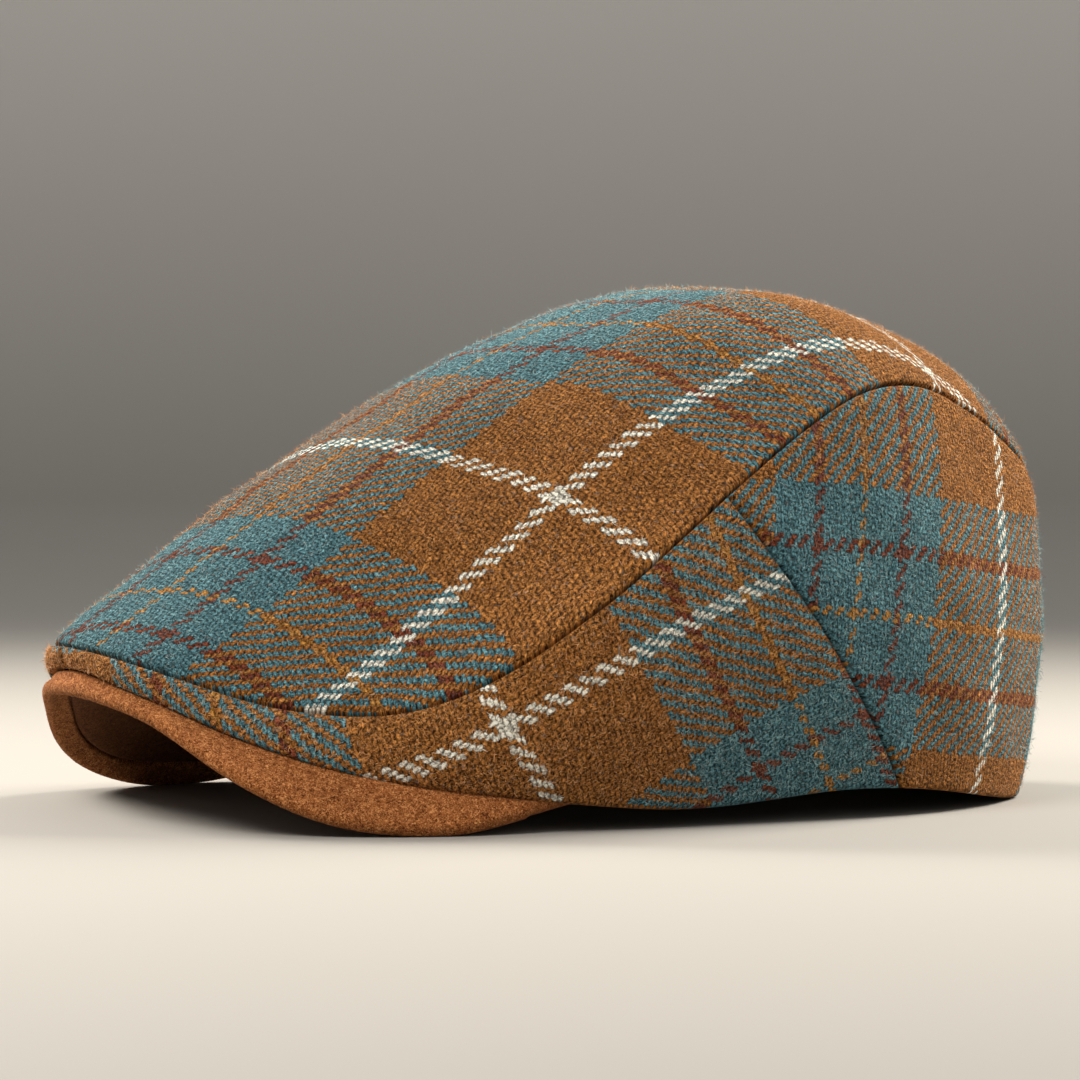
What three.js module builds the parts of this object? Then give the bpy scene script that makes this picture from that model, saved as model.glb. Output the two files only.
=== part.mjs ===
// A flat cap, resting on its hem and on the two bent-down sides of its peak. Millimetres, +Z up.
// The wearer's front is -Y, the wearer's left is +X, and Z = 0 is the surface that it rests on.
// The crown is sewn from panels of thick tweed: one over the top, a pair along the front and sides,
// and a pair round the back. The peak is a bent plate covered in suede, with a separate suede panel
// let in underneath.
import * as THREE from "three";

// ---- Cloth and seams -------------------------------------------------------------------------
const CLOTH_THICK = 2.4;
const PEAK_THICK = 4;
const UNDERSIDE_THICK = 1.4;
const SEAM_GAP = 0.3;
const PEAK_GAP = 0.45;

// ---- Crown -----------------------------------------------------------------------------------
// The crown is measured from an upright axis: `turn` is the angle round it from the front, in
// degrees, each `Out` is a distance from the axis and each `Up` a height above the surface. The
// axis stands so that the middle of the whole cap's length is at Y = 0.
const AXIS_Y = 0.52;
const APEX_BACK = 34.95;
const APEX_UP = 131.9;

// hem: lower edge of the side and back panels. seam: where they meet the top panel.
// bulge: how far the wall stands out halfway up.
const WALL_STATIONS = [
  { turn: 0, hemOut: 131.9, hemUp: 36.7, bulge: 1.2, seamOut: 133.9, seamUp: 43.2 },
  { turn: 30, hemOut: 121.8, hemUp: 20.8, bulge: 2, seamOut: 115.9, seamUp: 30.7 },
  { turn: 60, hemOut: 103.4, hemUp: 8.6, bulge: 3.6, seamOut: 104.1, seamUp: 39.5 },
  { turn: 90, hemOut: 88.5, hemUp: 4.4, bulge: 5.9, seamOut: 87.1, seamUp: 74.6 },
  { turn: 120, hemOut: 95.8, hemUp: 7.4, bulge: 7.1, seamOut: 85.9, seamUp: 102.1 },
  { turn: 150, hemOut: 114.2, hemUp: 1.8, bulge: 6, seamOut: 106.1, seamUp: 100.6 },
  { turn: 180, hemOut: 122.3, hemUp: -0.3, bulge: 6.4, seamOut: 130.5, seamUp: 77.4 },
];

// The top panel between the apex and the seam. share: how far out its middle lies. lift: how high
// its middle stands above the straight line. flat: how far the cloth runs level from the apex.
const TOP_STATIONS = [
  { turn: 0, share: 0.51, lift: 15.1, flat: 0.29 },
  { turn: 30, share: 0.54, lift: 22.5, flat: 0.37 },
  { turn: 60, share: 0.5, lift: 22.2, flat: 0.4 },
  { turn: 90, share: 0.51, lift: 16.9, flat: 0.48 },
  { turn: 120, share: 0.52, lift: 11.7, flat: 0.45 },
  { turn: 150, share: 0.57, lift: 11.6, flat: 0.38 },
  { turn: 180, share: 0.6, lift: 18.2, flat: 0.35 },
];
const HALF_TURN = 180;

// The seam between a side panel and a back panel leans back as it comes down.
const SIDE_SEAM_TOP_TURN = 96;
const SIDE_SEAM_HEM_TURN = 126;
const SIDE_SEAM_BOW = 6;

// ---- Peak ------------------------------------------------------------------------------------
// innerOut: its inner edge, at the opening for the head. reach: how far its rim stands out past the
// hem. droop: how far its rim is curled down below the bent plate. The underside panel is inset from
// the rim, and stops a little short of the peak's two ends.
const PEAK_HALF_TURN = 73.5;
const PEAK_STATIONS = [
  { turn: 0, innerOut: 88, reach: 2.9, droop: 1.8 },
  { turn: 12.25, innerOut: 89, reach: 3.5, droop: 0.9 },
  { turn: 24.5, innerOut: 91, reach: 7.4, droop: 0.2 },
  { turn: 36.75, innerOut: 92, reach: 12, droop: 1.4 },
  { turn: 49, innerOut: 91, reach: 9.2, droop: 2.9 },
  { turn: 61.25, innerOut: 86, reach: 3.4, droop: 0.8 },
  { turn: 73.5, innerOut: 78, reach: -4.5, droop: 0 },
];
const PEAK_BEND_RADIUS = 118;
const PEAK_FORWARD_SLOPE = 0.14;
const UNDERSIDE_INSET = 6.5;
const UNDERSIDE_END_TURN = 1;

// ---- Fineness of the faceting ----------------------------------------------------------------
const TOP_ROWS = 8;
const WALL_ROWS = 6;
const SIDE_COLUMNS = 24;
const BACK_COLUMNS = 14;
const PEAK_COLUMNS = 56;
const PLATE_STEPS = 4;
const RIM_TOP_STEPS = 2;
const RIM_STEPS = 3;
const NORMAL_LEVEL_STEP = 0.01;
const NORMAL_TURN_STEP = 1;

// ---- Curves through the stations -------------------------------------------------------------

/** A smooth even curve through evenly spaced values; `along` is 0 at the first and 1 at the last. */
function throughStations(values, along) {
  const last = values.length - 1;
  const weight = (i) => (i === 0 || i === last ? 0.5 : 1);
  let sum = 0;
  for (let k = 0; k <= last; k++) {
    let wave = 0;
    for (let j = 0; j <= last; j++) {
      wave += weight(j) * values[j] * Math.cos((Math.PI * j * k) / last);
    }
    sum += weight(k) * wave * Math.cos(Math.PI * k * along);
  }
  return (2 * sum) / last;
}

const wallAt = (column, turn) =>
  throughStations(WALL_STATIONS.map((station) => station[column]), turn / HALF_TURN);

const topAt = (column, turn) =>
  throughStations(TOP_STATIONS.map((station) => station[column]), turn / HALF_TURN);

const peakAt = (column, turn) =>
  throughStations(PEAK_STATIONS.map((station) => station[column]), turn / PEAK_HALF_TURN);

/** The point `out` from the crown's axis at `turn` degrees from the front, `up` above the surface. */
function aroundAxis(turn, out, up) {
  const angle = THREE.MathUtils.degToRad(turn);
  return new THREE.Vector3(out * Math.sin(angle), AXIS_Y - out * Math.cos(angle), Math.max(up, 0));
}

const UPRIGHT = new THREE.Vector3(0, 0, 1);

// ---- The crown's outer surface ---------------------------------------------------------------

/** The wall below the top seam: `level` is 0 at the hem and 1 at the seam. */
function wallPoint(turn, level) {
  const middle = (low, high, bulge) => (low + high) / 2 + bulge;
  const bend = (low, mid, high) =>
    low * (1 - level) * (1 - 2 * level) + mid * 4 * level * (1 - level) + high * level * (2 * level - 1);
  const hemOut = wallAt("hemOut", turn);
  const seamOut = wallAt("seamOut", turn);
  const hemUp = Math.max(wallAt("hemUp", turn), 0);
  const seamUp = wallAt("seamUp", turn);
  const out = bend(hemOut, middle(hemOut, seamOut, wallAt("bulge", turn)), seamOut);
  const up = bend(hemUp, middle(hemUp, seamUp, 0), seamUp);
  return aroundAxis(turn, out, up);
}

/**
 * The top panel: `level` is 0 at the seam and 1 at the apex, along a cubic Bezier curve. Its second
 * control point follows from the middle, which weighs the four points as 1, 3, 3 and 1 over 8.
 */
function topPoint(turn, level) {
  const apex = new THREE.Vector3(0, AXIS_Y + APEX_BACK, APEX_UP);
  const seam = wallPoint(turn, 1);
  const share = topAt("share", turn);
  const middle = apex.clone().lerp(seam, share);
  middle.z += topAt("lift", turn);
  const levelled = seam.clone().sub(apex).setZ(0).multiplyScalar(topAt("flat", turn)).add(apex);
  const rise = middle
    .clone()
    .multiplyScalar(8)
    .sub(seam)
    .sub(apex)
    .addScaledVector(levelled, -3)
    .divideScalar(3);
  return new THREE.CubicBezierCurve3(seam, rise, levelled, apex).getPoint(level);
}

/** The outward normal of a surface of turn and level, from small steps each way. */
function normalOf(surface, turn, level) {
  const low = Math.max(level - NORMAL_LEVEL_STEP, 0);
  const high = Math.min(level + NORMAL_LEVEL_STEP, 1);
  const along = surface(turn + NORMAL_TURN_STEP, level).sub(surface(turn - NORMAL_TURN_STEP, level));
  const up = surface(turn, high).sub(surface(turn, low));
  return along.cross(up).normalize();
}

/** The direction in which both panels are cut through at the top seam: halfway between their normals. */
const seamNormal = (turn) =>
  normalOf(wallPoint, turn, 1).add(normalOf(topPoint, turn, 0)).normalize();

/** A point moved inwards along a normal, never below the surface that the cap rests on. */
function behind(point, normal, depth) {
  const inner = point.clone().addScaledVector(normal, -depth);
  inner.z = Math.max(inner.z, 0);
  return inner;
}

// ---- The peak's surfaces ---------------------------------------------------------------------

/** How high the bent plate stands at (x, y), up to a constant. */
const plateUp = (x, y) => PEAK_FORWARD_SLOPE * y - (x * x) / (2 * PEAK_BEND_RADIUS);

/** The top of the plate at any point in plan, for the stretch of it that a turn's hem stands on. */
function plateTop(turn, point) {
  const hem = aroundAxis(turn, wallAt("hemOut", turn), wallAt("hemUp", turn));
  return hem.z - PEAK_GAP + plateUp(point.x, point.y) - plateUp(hem.x, hem.y);
}

/** One section of the peak at a turn: its rim, and points on its top face with their normals. */
function peakSection(turn) {
  const hemOut = wallAt("hemOut", turn);
  const innerOut = peakAt("innerOut", turn);
  const rimOut = hemOut + peakAt("reach", turn);
  const lastOut = rimOut - PEAK_THICK / 2;
  const grooveOut = rimOut - UNDERSIDE_INSET;
  const at = (out) => {
    const point = aroundAxis(turn, out, 0);
    const curl = out > hemOut ? ((out - hemOut) / (lastOut - hemOut)) ** 2 : 0;
    point.z = plateTop(turn, point) - peakAt("droop", turn) * curl;
    const normal = new THREE.Vector3(point.x / PEAK_BEND_RADIUS, -PEAK_FORWARD_SLOPE, 1).normalize();
    return { point, normal };
  };
  return { innerOut, grooveOut, lastOut, at };
}

// ---- Building solids -------------------------------------------------------------------------

/**
 * A closed solid between two matching grids of points, `outside` and `inside`, each a list of rows.
 * With `ring`, each row runs once round and joins its own start.
 */
function solidBetween(outside, inside, ring = false) {
  const positions = [];
  const numbers = new Map();
  const number = (point) => {
    const key = point.toArray().map((value) => value.toFixed(4)).join();
    if (!numbers.has(key)) {
      numbers.set(key, positions.length / 3);
      positions.push(point.x, point.y, point.z);
    }
    return numbers.get(key);
  };
  const faces = [];
  const triangle = (a, b, c) => {
    const corners = [number(a), number(b), number(c)];
    if (new Set(corners).size === 3) faces.push(...corners);
  };
  const quad = (a, b, c, d, crossed) => {
    triangle(a, b, crossed ? d : c);
    triangle(crossed ? b : a, c, d);
  };
  const lastRow = outside.length - 1;
  const columns = outside[0].length;
  const lastColumn = ring ? columns : columns - 1;
  for (let row = 0; row < lastRow; row++) {
    for (let column = 0; column < lastColumn; column++) {
      const next = (column + 1) % columns;
      const corners = (low, high) => [low[column], low[next], high[next], high[column]];
      const [a, b, c, d] = corners(outside[row], outside[row + 1]);
      const [e, f, g, h] = corners(inside[row], inside[row + 1]);
      const crossed = b.distanceTo(d) < a.distanceTo(c);
      quad(a, b, c, d, crossed);
      quad(e, h, g, f, crossed);
    }
    if (!ring) {
      const end = (rows, column) => [rows[row][column], rows[row + 1][column]];
      const [firstOuter, firstOuterUp] = end(outside, 0);
      const [firstInner, firstInnerUp] = end(inside, 0);
      const [lastOuter, lastOuterUp] = end(outside, lastColumn);
      const [lastInner, lastInnerUp] = end(inside, lastColumn);
      quad(firstInner, firstOuter, firstOuterUp, firstInnerUp);
      quad(lastOuter, lastInner, lastInnerUp, lastOuterUp);
    }
  }
  for (let column = 0; column < lastColumn; column++) {
    const next = (column + 1) % columns;
    quad(inside[0][column], inside[0][next], outside[0][next], outside[0][column]);
    quad(outside[lastRow][column], outside[lastRow][next], inside[lastRow][next], inside[lastRow][column]);
  }
  const geometry = new THREE.BufferGeometry();
  geometry.setAttribute("position", new THREE.Float32BufferAttribute(positions, 3));
  geometry.setIndex(faces);
  geometry.computeVertexNormals();
  return geometry;
}

const spread = (count) => Array.from({ length: count + 1 }, (_, i) => i / count);

// ---- The panels ------------------------------------------------------------------------------

/** The turns of the top panel's columns: those of the wall panels below it, so that the seam fits. */
function topTurns() {
  const half = [
    ...spread(SIDE_COLUMNS).map((share) => share * SIDE_SEAM_TOP_TURN),
    ...spread(BACK_COLUMNS)
      .slice(1)
      .map((share) => THREE.MathUtils.lerp(SIDE_SEAM_TOP_TURN, HALF_TURN, share)),
  ];
  return [...half.slice(1, -1).map((turn) => -turn).reverse(), ...half];
}

/** The top panel, from just inside the seam all round up to the apex. */
function topPanel() {
  const turns = topTurns();
  const outside = [];
  const inside = [];
  for (const share of spread(TOP_ROWS)) {
    const outerRow = [];
    const innerRow = [];
    for (const turn of turns) {
      const length = topPoint(turn, 0).distanceTo(topPoint(turn, 1));
      const level = Math.max(share, SEAM_GAP / 2 / length);
      const normal = share === 0 ? seamNormal(turn) : normalOf(topPoint, turn, level);
      const point = topPoint(turn, level);
      outerRow.push(point);
      innerRow.push(behind(point, share === 1 ? UPRIGHT : normal, CLOTH_THICK));
    }
    outside.push(outerRow);
    inside.push(innerRow);
  }
  return solidBetween(outside, inside, true);
}

/** Where the side seam crosses a level of the wall. */
const sideSeamTurn = (level) =>
  THREE.MathUtils.lerp(SIDE_SEAM_HEM_TURN, SIDE_SEAM_TOP_TURN, level) - SIDE_SEAM_BOW * level * (1 - level);

/** Half the seam gap as an angle at a point's distance from the axis. */
const gapTurn = (turn) => THREE.MathUtils.radToDeg(SEAM_GAP / 2 / wallAt("hemOut", turn));

/** A wall panel of the left side, between two upright seams that are each a function of level. */
function wallPanel(firstSeam, lastSeam, columns) {
  const outside = [];
  const inside = [];
  for (const share of spread(WALL_ROWS)) {
    const outerRow = [];
    const innerRow = [];
    for (const across of spread(columns)) {
      const first = firstSeam(share) + gapTurn(firstSeam(share));
      const last = lastSeam(share) - gapTurn(lastSeam(share));
      const turn = THREE.MathUtils.lerp(first, last, across);
      const height = wallPoint(turn, 0).distanceTo(wallPoint(turn, 1));
      const level = Math.min(share, 1 - SEAM_GAP / 2 / height);
      const normal = normalOf(wallPoint, turn, level);
      if (share === 0) normal.setZ(0);
      normal.normalize().lerp(seamNormal(turn), share ** 2).normalize();
      const outer = wallPoint(turn, level);
      const inner = behind(outer, normal, CLOTH_THICK);
      if (turn < PEAK_HALF_TURN) inner.z = Math.max(inner.z, plateTop(turn, inner) + PEAK_GAP);
      outerRow.push(outer);
      innerRow.push(inner);
    }
    outside.push(outerRow);
    inside.push(innerRow);
  }
  return solidBetween(outside, inside);
}

/** The covered plate of the peak: a rolled rim, and inside it a recess for the underside panel. */
function peakCover() {
  const outside = [];
  const inside = [];
  for (const across of spread(PEAK_COLUMNS)) {
    const turn = PEAK_HALF_TURN * (2 * across - 1);
    const { innerOut, grooveOut, lastOut, at } = peakSection(turn);
    const thin = PEAK_THICK - UNDERSIDE_THICK - SEAM_GAP;
    const plate = spread(PLATE_STEPS).map((share) => at(THREE.MathUtils.lerp(innerOut, grooveOut, share)));
    const rim = spread(RIM_TOP_STEPS).map((share) => at(THREE.MathUtils.lerp(grooveOut, lastOut, share)));
    const above = [...plate, ...rim].map(({ point }) => point);
    const under = [
      ...plate.map(({ point, normal }) => behind(point, normal, thin)),
      ...rim.map(({ point, normal }) => behind(point, normal, PEAK_THICK)),
    ];
    const last = rim[rim.length - 1];
    const radius = PEAK_THICK / 2;
    const centre = behind(last.point, last.normal, radius);
    const outward = aroundAxis(turn, 1, 0).sub(aroundAxis(turn, 0, 0));
    outward.addScaledVector(last.normal, -outward.dot(last.normal)).normalize();
    for (let step = 1; step <= RIM_STEPS; step++) {
      const angle = (Math.PI / 2) * (1 - step / RIM_STEPS);
      const edge = centre.clone().addScaledVector(outward, radius * Math.cos(angle));
      above.push(behind(edge, last.normal, -radius * Math.sin(angle)));
      under.push(behind(edge, last.normal, radius * Math.sin(angle)));
    }
    outside.push(above);
    inside.push(under);
  }
  return solidBetween(outside, inside);
}

/** The suede panel let into the underside of the peak. */
function peakUnderside() {
  const outside = [];
  const inside = [];
  for (const across of spread(PEAK_COLUMNS)) {
    const turn = (PEAK_HALF_TURN - UNDERSIDE_END_TURN) * (2 * across - 1);
    const { innerOut, grooveOut, at } = peakSection(turn);
    const spots = spread(PLATE_STEPS).map((share) =>
      at(THREE.MathUtils.lerp(innerOut, grooveOut - SEAM_GAP, share)),
    );
    outside.push(spots.map(({ point, normal }) => behind(point, normal, PEAK_THICK - UNDERSIDE_THICK)));
    inside.push(spots.map(({ point, normal }) => behind(point, normal, PEAK_THICK)));
  }
  return solidBetween(outside, inside);
}

// ---- Materials and the finished cap ----------------------------------------------------------

const tweed = (name) => {
  const material = new THREE.MeshStandardMaterial({ color: 0x6f7460, roughness: 0.95, metalness: 0 });
  material.name = name;
  return material;
};

const suede = (name, color) => {
  const material = new THREE.MeshStandardMaterial({ color, roughness: 0.9, metalness: 0 });
  material.name = name;
  return material;
};

const cap = new THREE.Group();

function add(name, geometry, material, side = 1) {
  const mesh = new THREE.Mesh(geometry, material);
  mesh.name = name;
  mesh.scale.x = side;
  cap.add(mesh);
}

const centreFront = () => 0;
const centreBack = () => HALF_TURN;

add("top_panel", topPanel(), tweed("top tweed"));
for (const [word, side] of [["left", 1], ["right", -1]]) {
  add(`side_panel_${word}`, wallPanel(centreFront, sideSeamTurn, SIDE_COLUMNS), tweed("side tweed"), side);
  add(`back_panel_${word}`, wallPanel(sideSeamTurn, centreBack, BACK_COLUMNS), tweed("back tweed"), side);
}
add("peak_cover", peakCover(), suede("tan suede", 0xa9683c));
add("peak_underside", peakUnderside(), suede("shaded suede", 0x8a5532));

export default cap;
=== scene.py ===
"""A flat cap of thick plaid tweed with a suede peak, resting on a pale studio floor.

Everything is in metres. The wearer's front is -Y, the wearer's left is +X, and Z = 0 is the floor.
The crown is sewn from shaped panels of tweed: their plaid and weave follow cloth coordinates that
are worked out by flattening each panel, as the panel was cut from the cloth. The peak is a bent
plate in a suede cover.
"""

import logging
import math
from dataclasses import dataclass, field
from enum import Enum
from typing import Any, Callable, Sequence, Union

import bpy
import numpy as np
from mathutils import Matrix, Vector


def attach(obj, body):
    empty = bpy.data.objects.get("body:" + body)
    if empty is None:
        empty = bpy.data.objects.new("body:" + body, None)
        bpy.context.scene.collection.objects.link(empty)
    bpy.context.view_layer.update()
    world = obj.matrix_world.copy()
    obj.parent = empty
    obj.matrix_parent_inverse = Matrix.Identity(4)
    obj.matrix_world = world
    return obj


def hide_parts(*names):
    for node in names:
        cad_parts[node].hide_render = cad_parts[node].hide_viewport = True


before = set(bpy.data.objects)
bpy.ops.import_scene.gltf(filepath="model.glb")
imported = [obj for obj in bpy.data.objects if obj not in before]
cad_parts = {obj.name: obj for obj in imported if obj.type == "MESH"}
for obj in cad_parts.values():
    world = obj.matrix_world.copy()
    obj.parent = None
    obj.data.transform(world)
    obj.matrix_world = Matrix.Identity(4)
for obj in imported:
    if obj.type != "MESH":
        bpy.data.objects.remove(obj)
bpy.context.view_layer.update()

LOG = logging.getLogger("flat_cap")
MM = 0.001
TINY = 1e-12
TURN_STEP = 0.5
LEVEL_STEP = 0.005
Array = np.ndarray

# ---- Sizes of the crown, the same as in the part ---------------------------------------------
AXIS_Y = 0.52 * MM
APEX_BACK = 34.95 * MM
APEX_UP = 131.9 * MM
CLOTH_THICK = 2.4 * MM
SEAM_GAP = 0.3 * MM
SIDE_SEAM_TOP_TURN = 96.0
SIDE_SEAM_HEM_TURN = 126.0
SIDE_SEAM_BOW = 6.0
HALF_TURN = 180.0

YARN_PITCH = 1.062 * MM
FLOOR_CLEARANCE = 0.05 * MM

# How far a panel's outer edge, and the inner edge that no light may pass, are from the seam.
SEWN_GAP = 0.29 * MM
LINING_GAP = 0.001 * MM

# ---- Sizes of the peak -----------------------------------------------------------------------
PEAK_HALF_TURN = 73.5
PEAK_THICK = 4.0 * MM
PEAK_GAP = 0.45 * MM
PEAK_BEND_RADIUS = 118.0 * MM
PEAK_FORWARD_SLOPE = 0.14
GROOVE_INSET = 6.5 * MM
LEAST_REACH = 0.1 * MM
PAST_RIM = 1.2


# ---- Curves through stations -----------------------------------------------------------------
@dataclass(frozen=True)
class Stations:
    """Sizes at evenly spaced turns from the centre front, joined by smooth even curves.

    The first row is at turn 0 and the last at `last_turn`, in degrees.
    """

    last_turn: float
    columns: tuple[str, ...]
    rows: tuple[tuple[float, ...], ...]

    def at(self, column: str, turn: Array) -> Array:
        """Give one column's value at any turn.

        Args:
            column: The column's name.
            turn: Angles from the centre front, in degrees.

        Returns:
            The interpolated values, shaped like `turn`.
        """
        values = np.array([row[self.columns.index(column)] for row in self.rows])
        last = len(values) - 1
        steps = np.arange(last + 1)
        weights = np.where((steps == 0) | (steps == last), 0.5, 1.0)
        waves = np.cos(np.pi * np.outer(steps, steps) / last) @ (weights * values)
        angle = np.pi * np.asarray(turn, float) / self.last_turn
        return np.cos(np.multiply.outer(angle, steps)) @ (weights * waves * 2 / last)


WALL = Stations(
    HALF_TURN,
    ("hem_out", "hem_up", "bulge", "seam_out", "seam_up"),
    (
        (0.1319, 0.0367, 0.0012, 0.1339, 0.0432),
        (0.1218, 0.0208, 0.0020, 0.1159, 0.0307),
        (0.1034, 0.0086, 0.0036, 0.1041, 0.0395),
        (0.0885, 0.0044, 0.0059, 0.0871, 0.0746),
        (0.0958, 0.0074, 0.0071, 0.0859, 0.1021),
        (0.1142, 0.0018, 0.0060, 0.1061, 0.1006),
        (0.1223, -0.0003, 0.0064, 0.1305, 0.0774),
    ),
)
TOP = Stations(
    HALF_TURN,
    ("share", "lift", "flat"),
    (
        (0.51, 0.0151, 0.29),
        (0.54, 0.0225, 0.37),
        (0.50, 0.0222, 0.40),
        (0.51, 0.0169, 0.48),
        (0.52, 0.0117, 0.45),
        (0.57, 0.0116, 0.38),
        (0.60, 0.0182, 0.35),
    ),
)
PEAK = Stations(
    PEAK_HALF_TURN,
    ("inner_out", "reach", "droop"),
    (
        (0.088, 0.0029, 0.0018),
        (0.089, 0.0035, 0.0009),
        (0.091, 0.0074, 0.0002),
        (0.092, 0.0120, 0.0014),
        (0.091, 0.0092, 0.0029),
        (0.086, 0.0034, 0.0008),
        (0.078, -0.0045, 0.0000),
    ),
)


def unit(vectors: Array) -> Array:
    """Scale vectors to length one."""
    return vectors / np.maximum(np.linalg.norm(vectors, axis=-1, keepdims=True), TINY)


def lerp(start: Any, end: Any, share: Any) -> Any:
    """Give the value a share of the way from start to end."""
    return start + (end - start) * share


def clear_floor(points: Array) -> Array:
    """Raise the points that would touch the floor to just over it."""
    return np.concatenate([points[..., :2], np.maximum(points[..., 2:], FLOOR_CLEARANCE)], -1)


def around_axis(turn: Array, out: Array, up: Array) -> Array:
    """Place points by their turn, distance from the crown's axis and height.

    Args:
        turn: Angles from the centre front, in degrees.
        out: Distances from the crown's upright axis.
        up: Heights above the floor; none is taken below it.

    Returns:
        Points, with x, y and z along the last axis.
    """
    angle = np.radians(turn)
    return np.stack(
        [out * np.sin(angle), AXIS_Y - out * np.cos(angle), np.maximum(up, 0.0)], -1
    )


# ---- The crown's outer surface ---------------------------------------------------------------
def wall_point(turn: Array, level: Array) -> Array:
    """Give points of the wall under the top seam.

    Args:
        turn: Angles from the centre front, in degrees.
        level: 0 at the hem and 1 at the top seam.

    Returns:
        Points on the outer surface.
    """
    turn, level = np.broadcast_arrays(turn, level)
    hem_out, seam_out = WALL.at("hem_out", turn), WALL.at("seam_out", turn)
    hem_up, seam_up = np.maximum(WALL.at("hem_up", turn), 0), WALL.at("seam_up", turn)

    def bend(low: Array, middle: Array, high: Array) -> Array:
        """Run a parabola through a low, middle and high value."""
        first, last = (1 - level) * (1 - 2 * level), level * (2 * level - 1)
        return low * first + middle * 4 * level * (1 - level) + high * last

    out = bend(hem_out, (hem_out + seam_out) / 2 + WALL.at("bulge", turn), seam_out)
    return around_axis(turn, out, bend(hem_up, (hem_up + seam_up) / 2, seam_up))


def top_point(turn: Array, level: Array) -> Array:
    """Give points of the top panel.

    Args:
        turn: Angles from the centre front, in degrees.
        level: 0 at the seam and 1 at the apex, along a cubic curve.

    Returns:
        Points on the outer surface.
    """
    turn, level = np.broadcast_arrays(turn, level)
    apex = np.array([0.0, AXIS_Y + APEX_BACK, APEX_UP])
    seam = wall_point(turn, np.ones(turn.shape))
    middle = lerp(apex, seam, TOP.at("share", turn)[..., None])
    middle[..., 2] += TOP.at("lift", turn)
    levelled = apex + (seam - apex) * [1, 1, 0] * TOP.at("flat", turn)[..., None]
    rise = (8 * middle - seam - apex - 3 * levelled) / 3
    far, near = level[..., None], 1 - level[..., None]
    return seam * near**3 + 3 * rise * far * near**2 + 3 * levelled * far**2 * near + apex * far**3


def side_seam_turn(level: Array) -> Array:
    """Give the turn at which the side seam crosses a level of the wall."""
    lean = lerp(SIDE_SEAM_HEM_TURN, SIDE_SEAM_TOP_TURN, level)
    return lean - SIDE_SEAM_BOW * level * (1 - level)


def surface_normal(surface: Callable[[Array, Array], Array], turn: Array, level: Array) -> Array:
    """Give a surface's outward normals, from small steps of turn and level.

    Args:
        surface: A function from turn and level to points.
        turn: Angles from the centre front, in degrees.
        level: Shares from 0 to 1 of the way up the surface.

    Returns:
        Vectors of length one.
    """
    low, high = np.maximum(level - LEVEL_STEP, 0), np.minimum(level + LEVEL_STEP, 1)
    along = surface(turn + TURN_STEP, level) - surface(turn - TURN_STEP, level)
    return unit(np.cross(along, surface(turn, high) - surface(turn, low)))


def seam_normal(turn: Array) -> Array:
    """Give the direction halfway between the wall's and the top panel's normals at their seam.

    Args:
        turn: Angles from the centre front, in degrees.

    Returns:
        Vectors of length one.
    """
    zero, one = np.zeros(np.shape(turn)), np.ones(np.shape(turn))
    wall = surface_normal(wall_point, turn, one)
    return unit(wall + surface_normal(top_point, turn, zero))


# ---- The peak's bent plate -------------------------------------------------------------------
def plate_up(point: Array) -> Array:
    """Give how high the bent plate stands at points in plan, up to a constant."""
    return PEAK_FORWARD_SLOPE * point[..., 1] - point[..., 0] ** 2 / (2 * PEAK_BEND_RADIUS)


def plate_top(turn: Array, point: Array) -> Array:
    """Give the height of the plate's top at points in plan, for the turn of the hem above it."""
    hem = around_axis(turn, WALL.at("hem_out", turn), WALL.at("hem_up", turn))
    return hem[..., 2] - PEAK_GAP + plate_up(point) - plate_up(hem)


# ---- Flattening a panel ----------------------------------------------------------------------
@dataclass(frozen=True)
class ClothPlacement:
    """Where a panel lay on the cloth when it was cut, and how the cloth was eased over the block.

    warp_lean and weft_lean are how far, in degrees, the two sets of yarns are turned on the flat
    panel. cross is where a white line crosses another on it. ease is how much longer than on the
    loom the yarns' spacing is. warp_bow and weft_bow are how far the lines stray from straight, for
    xx, xy, yy and, where given, xxx, xxy, xyy, yyy, with x and y in units of 100 mm; past bow_reach
    from the cross they run straight again.
    """

    warp_lean: float
    weft_lean: float
    cross: tuple[float, float]
    ease: float
    warp_bow: tuple[float, ...]
    weft_bow: tuple[float, ...]
    bow_reach: float = 100 * MM

    BOW_UNIT = 100 * MM

    def yarns(self, flat: Array) -> Array:
        """Turn places on the flat panel into counts of yarns across the warp and the weft.

        Args:
            flat: Places on the flat panel, in metres.

        Returns:
            Yarn counts from the white cross, with warp and weft along the last axis.
        """
        x, y = flat[..., 0] - self.cross[0], flat[..., 1] - self.cross[1]
        warp, weft = math.radians(self.warp_lean), math.radians(self.weft_lean)
        far = self.BOW_UNIT * np.sqrt(1 + (x * x + y * y) / self.bow_reach**2)
        a, b = x / far, y / far
        bends = np.stack([a * a, a * b, b * b, a**3, a * a * b, a * b * b, b**3], -1)
        bends = bends[..., : len(self.warp_bow)]
        across_warp = math.cos(warp) * x + math.sin(warp) * y + bends @ np.array(self.warp_bow)
        across_weft = math.cos(weft) * y - math.sin(weft) * x + bends @ np.array(self.weft_bow)
        return np.stack([across_warp, across_weft], -1) / (self.ease * YARN_PITCH)


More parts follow.
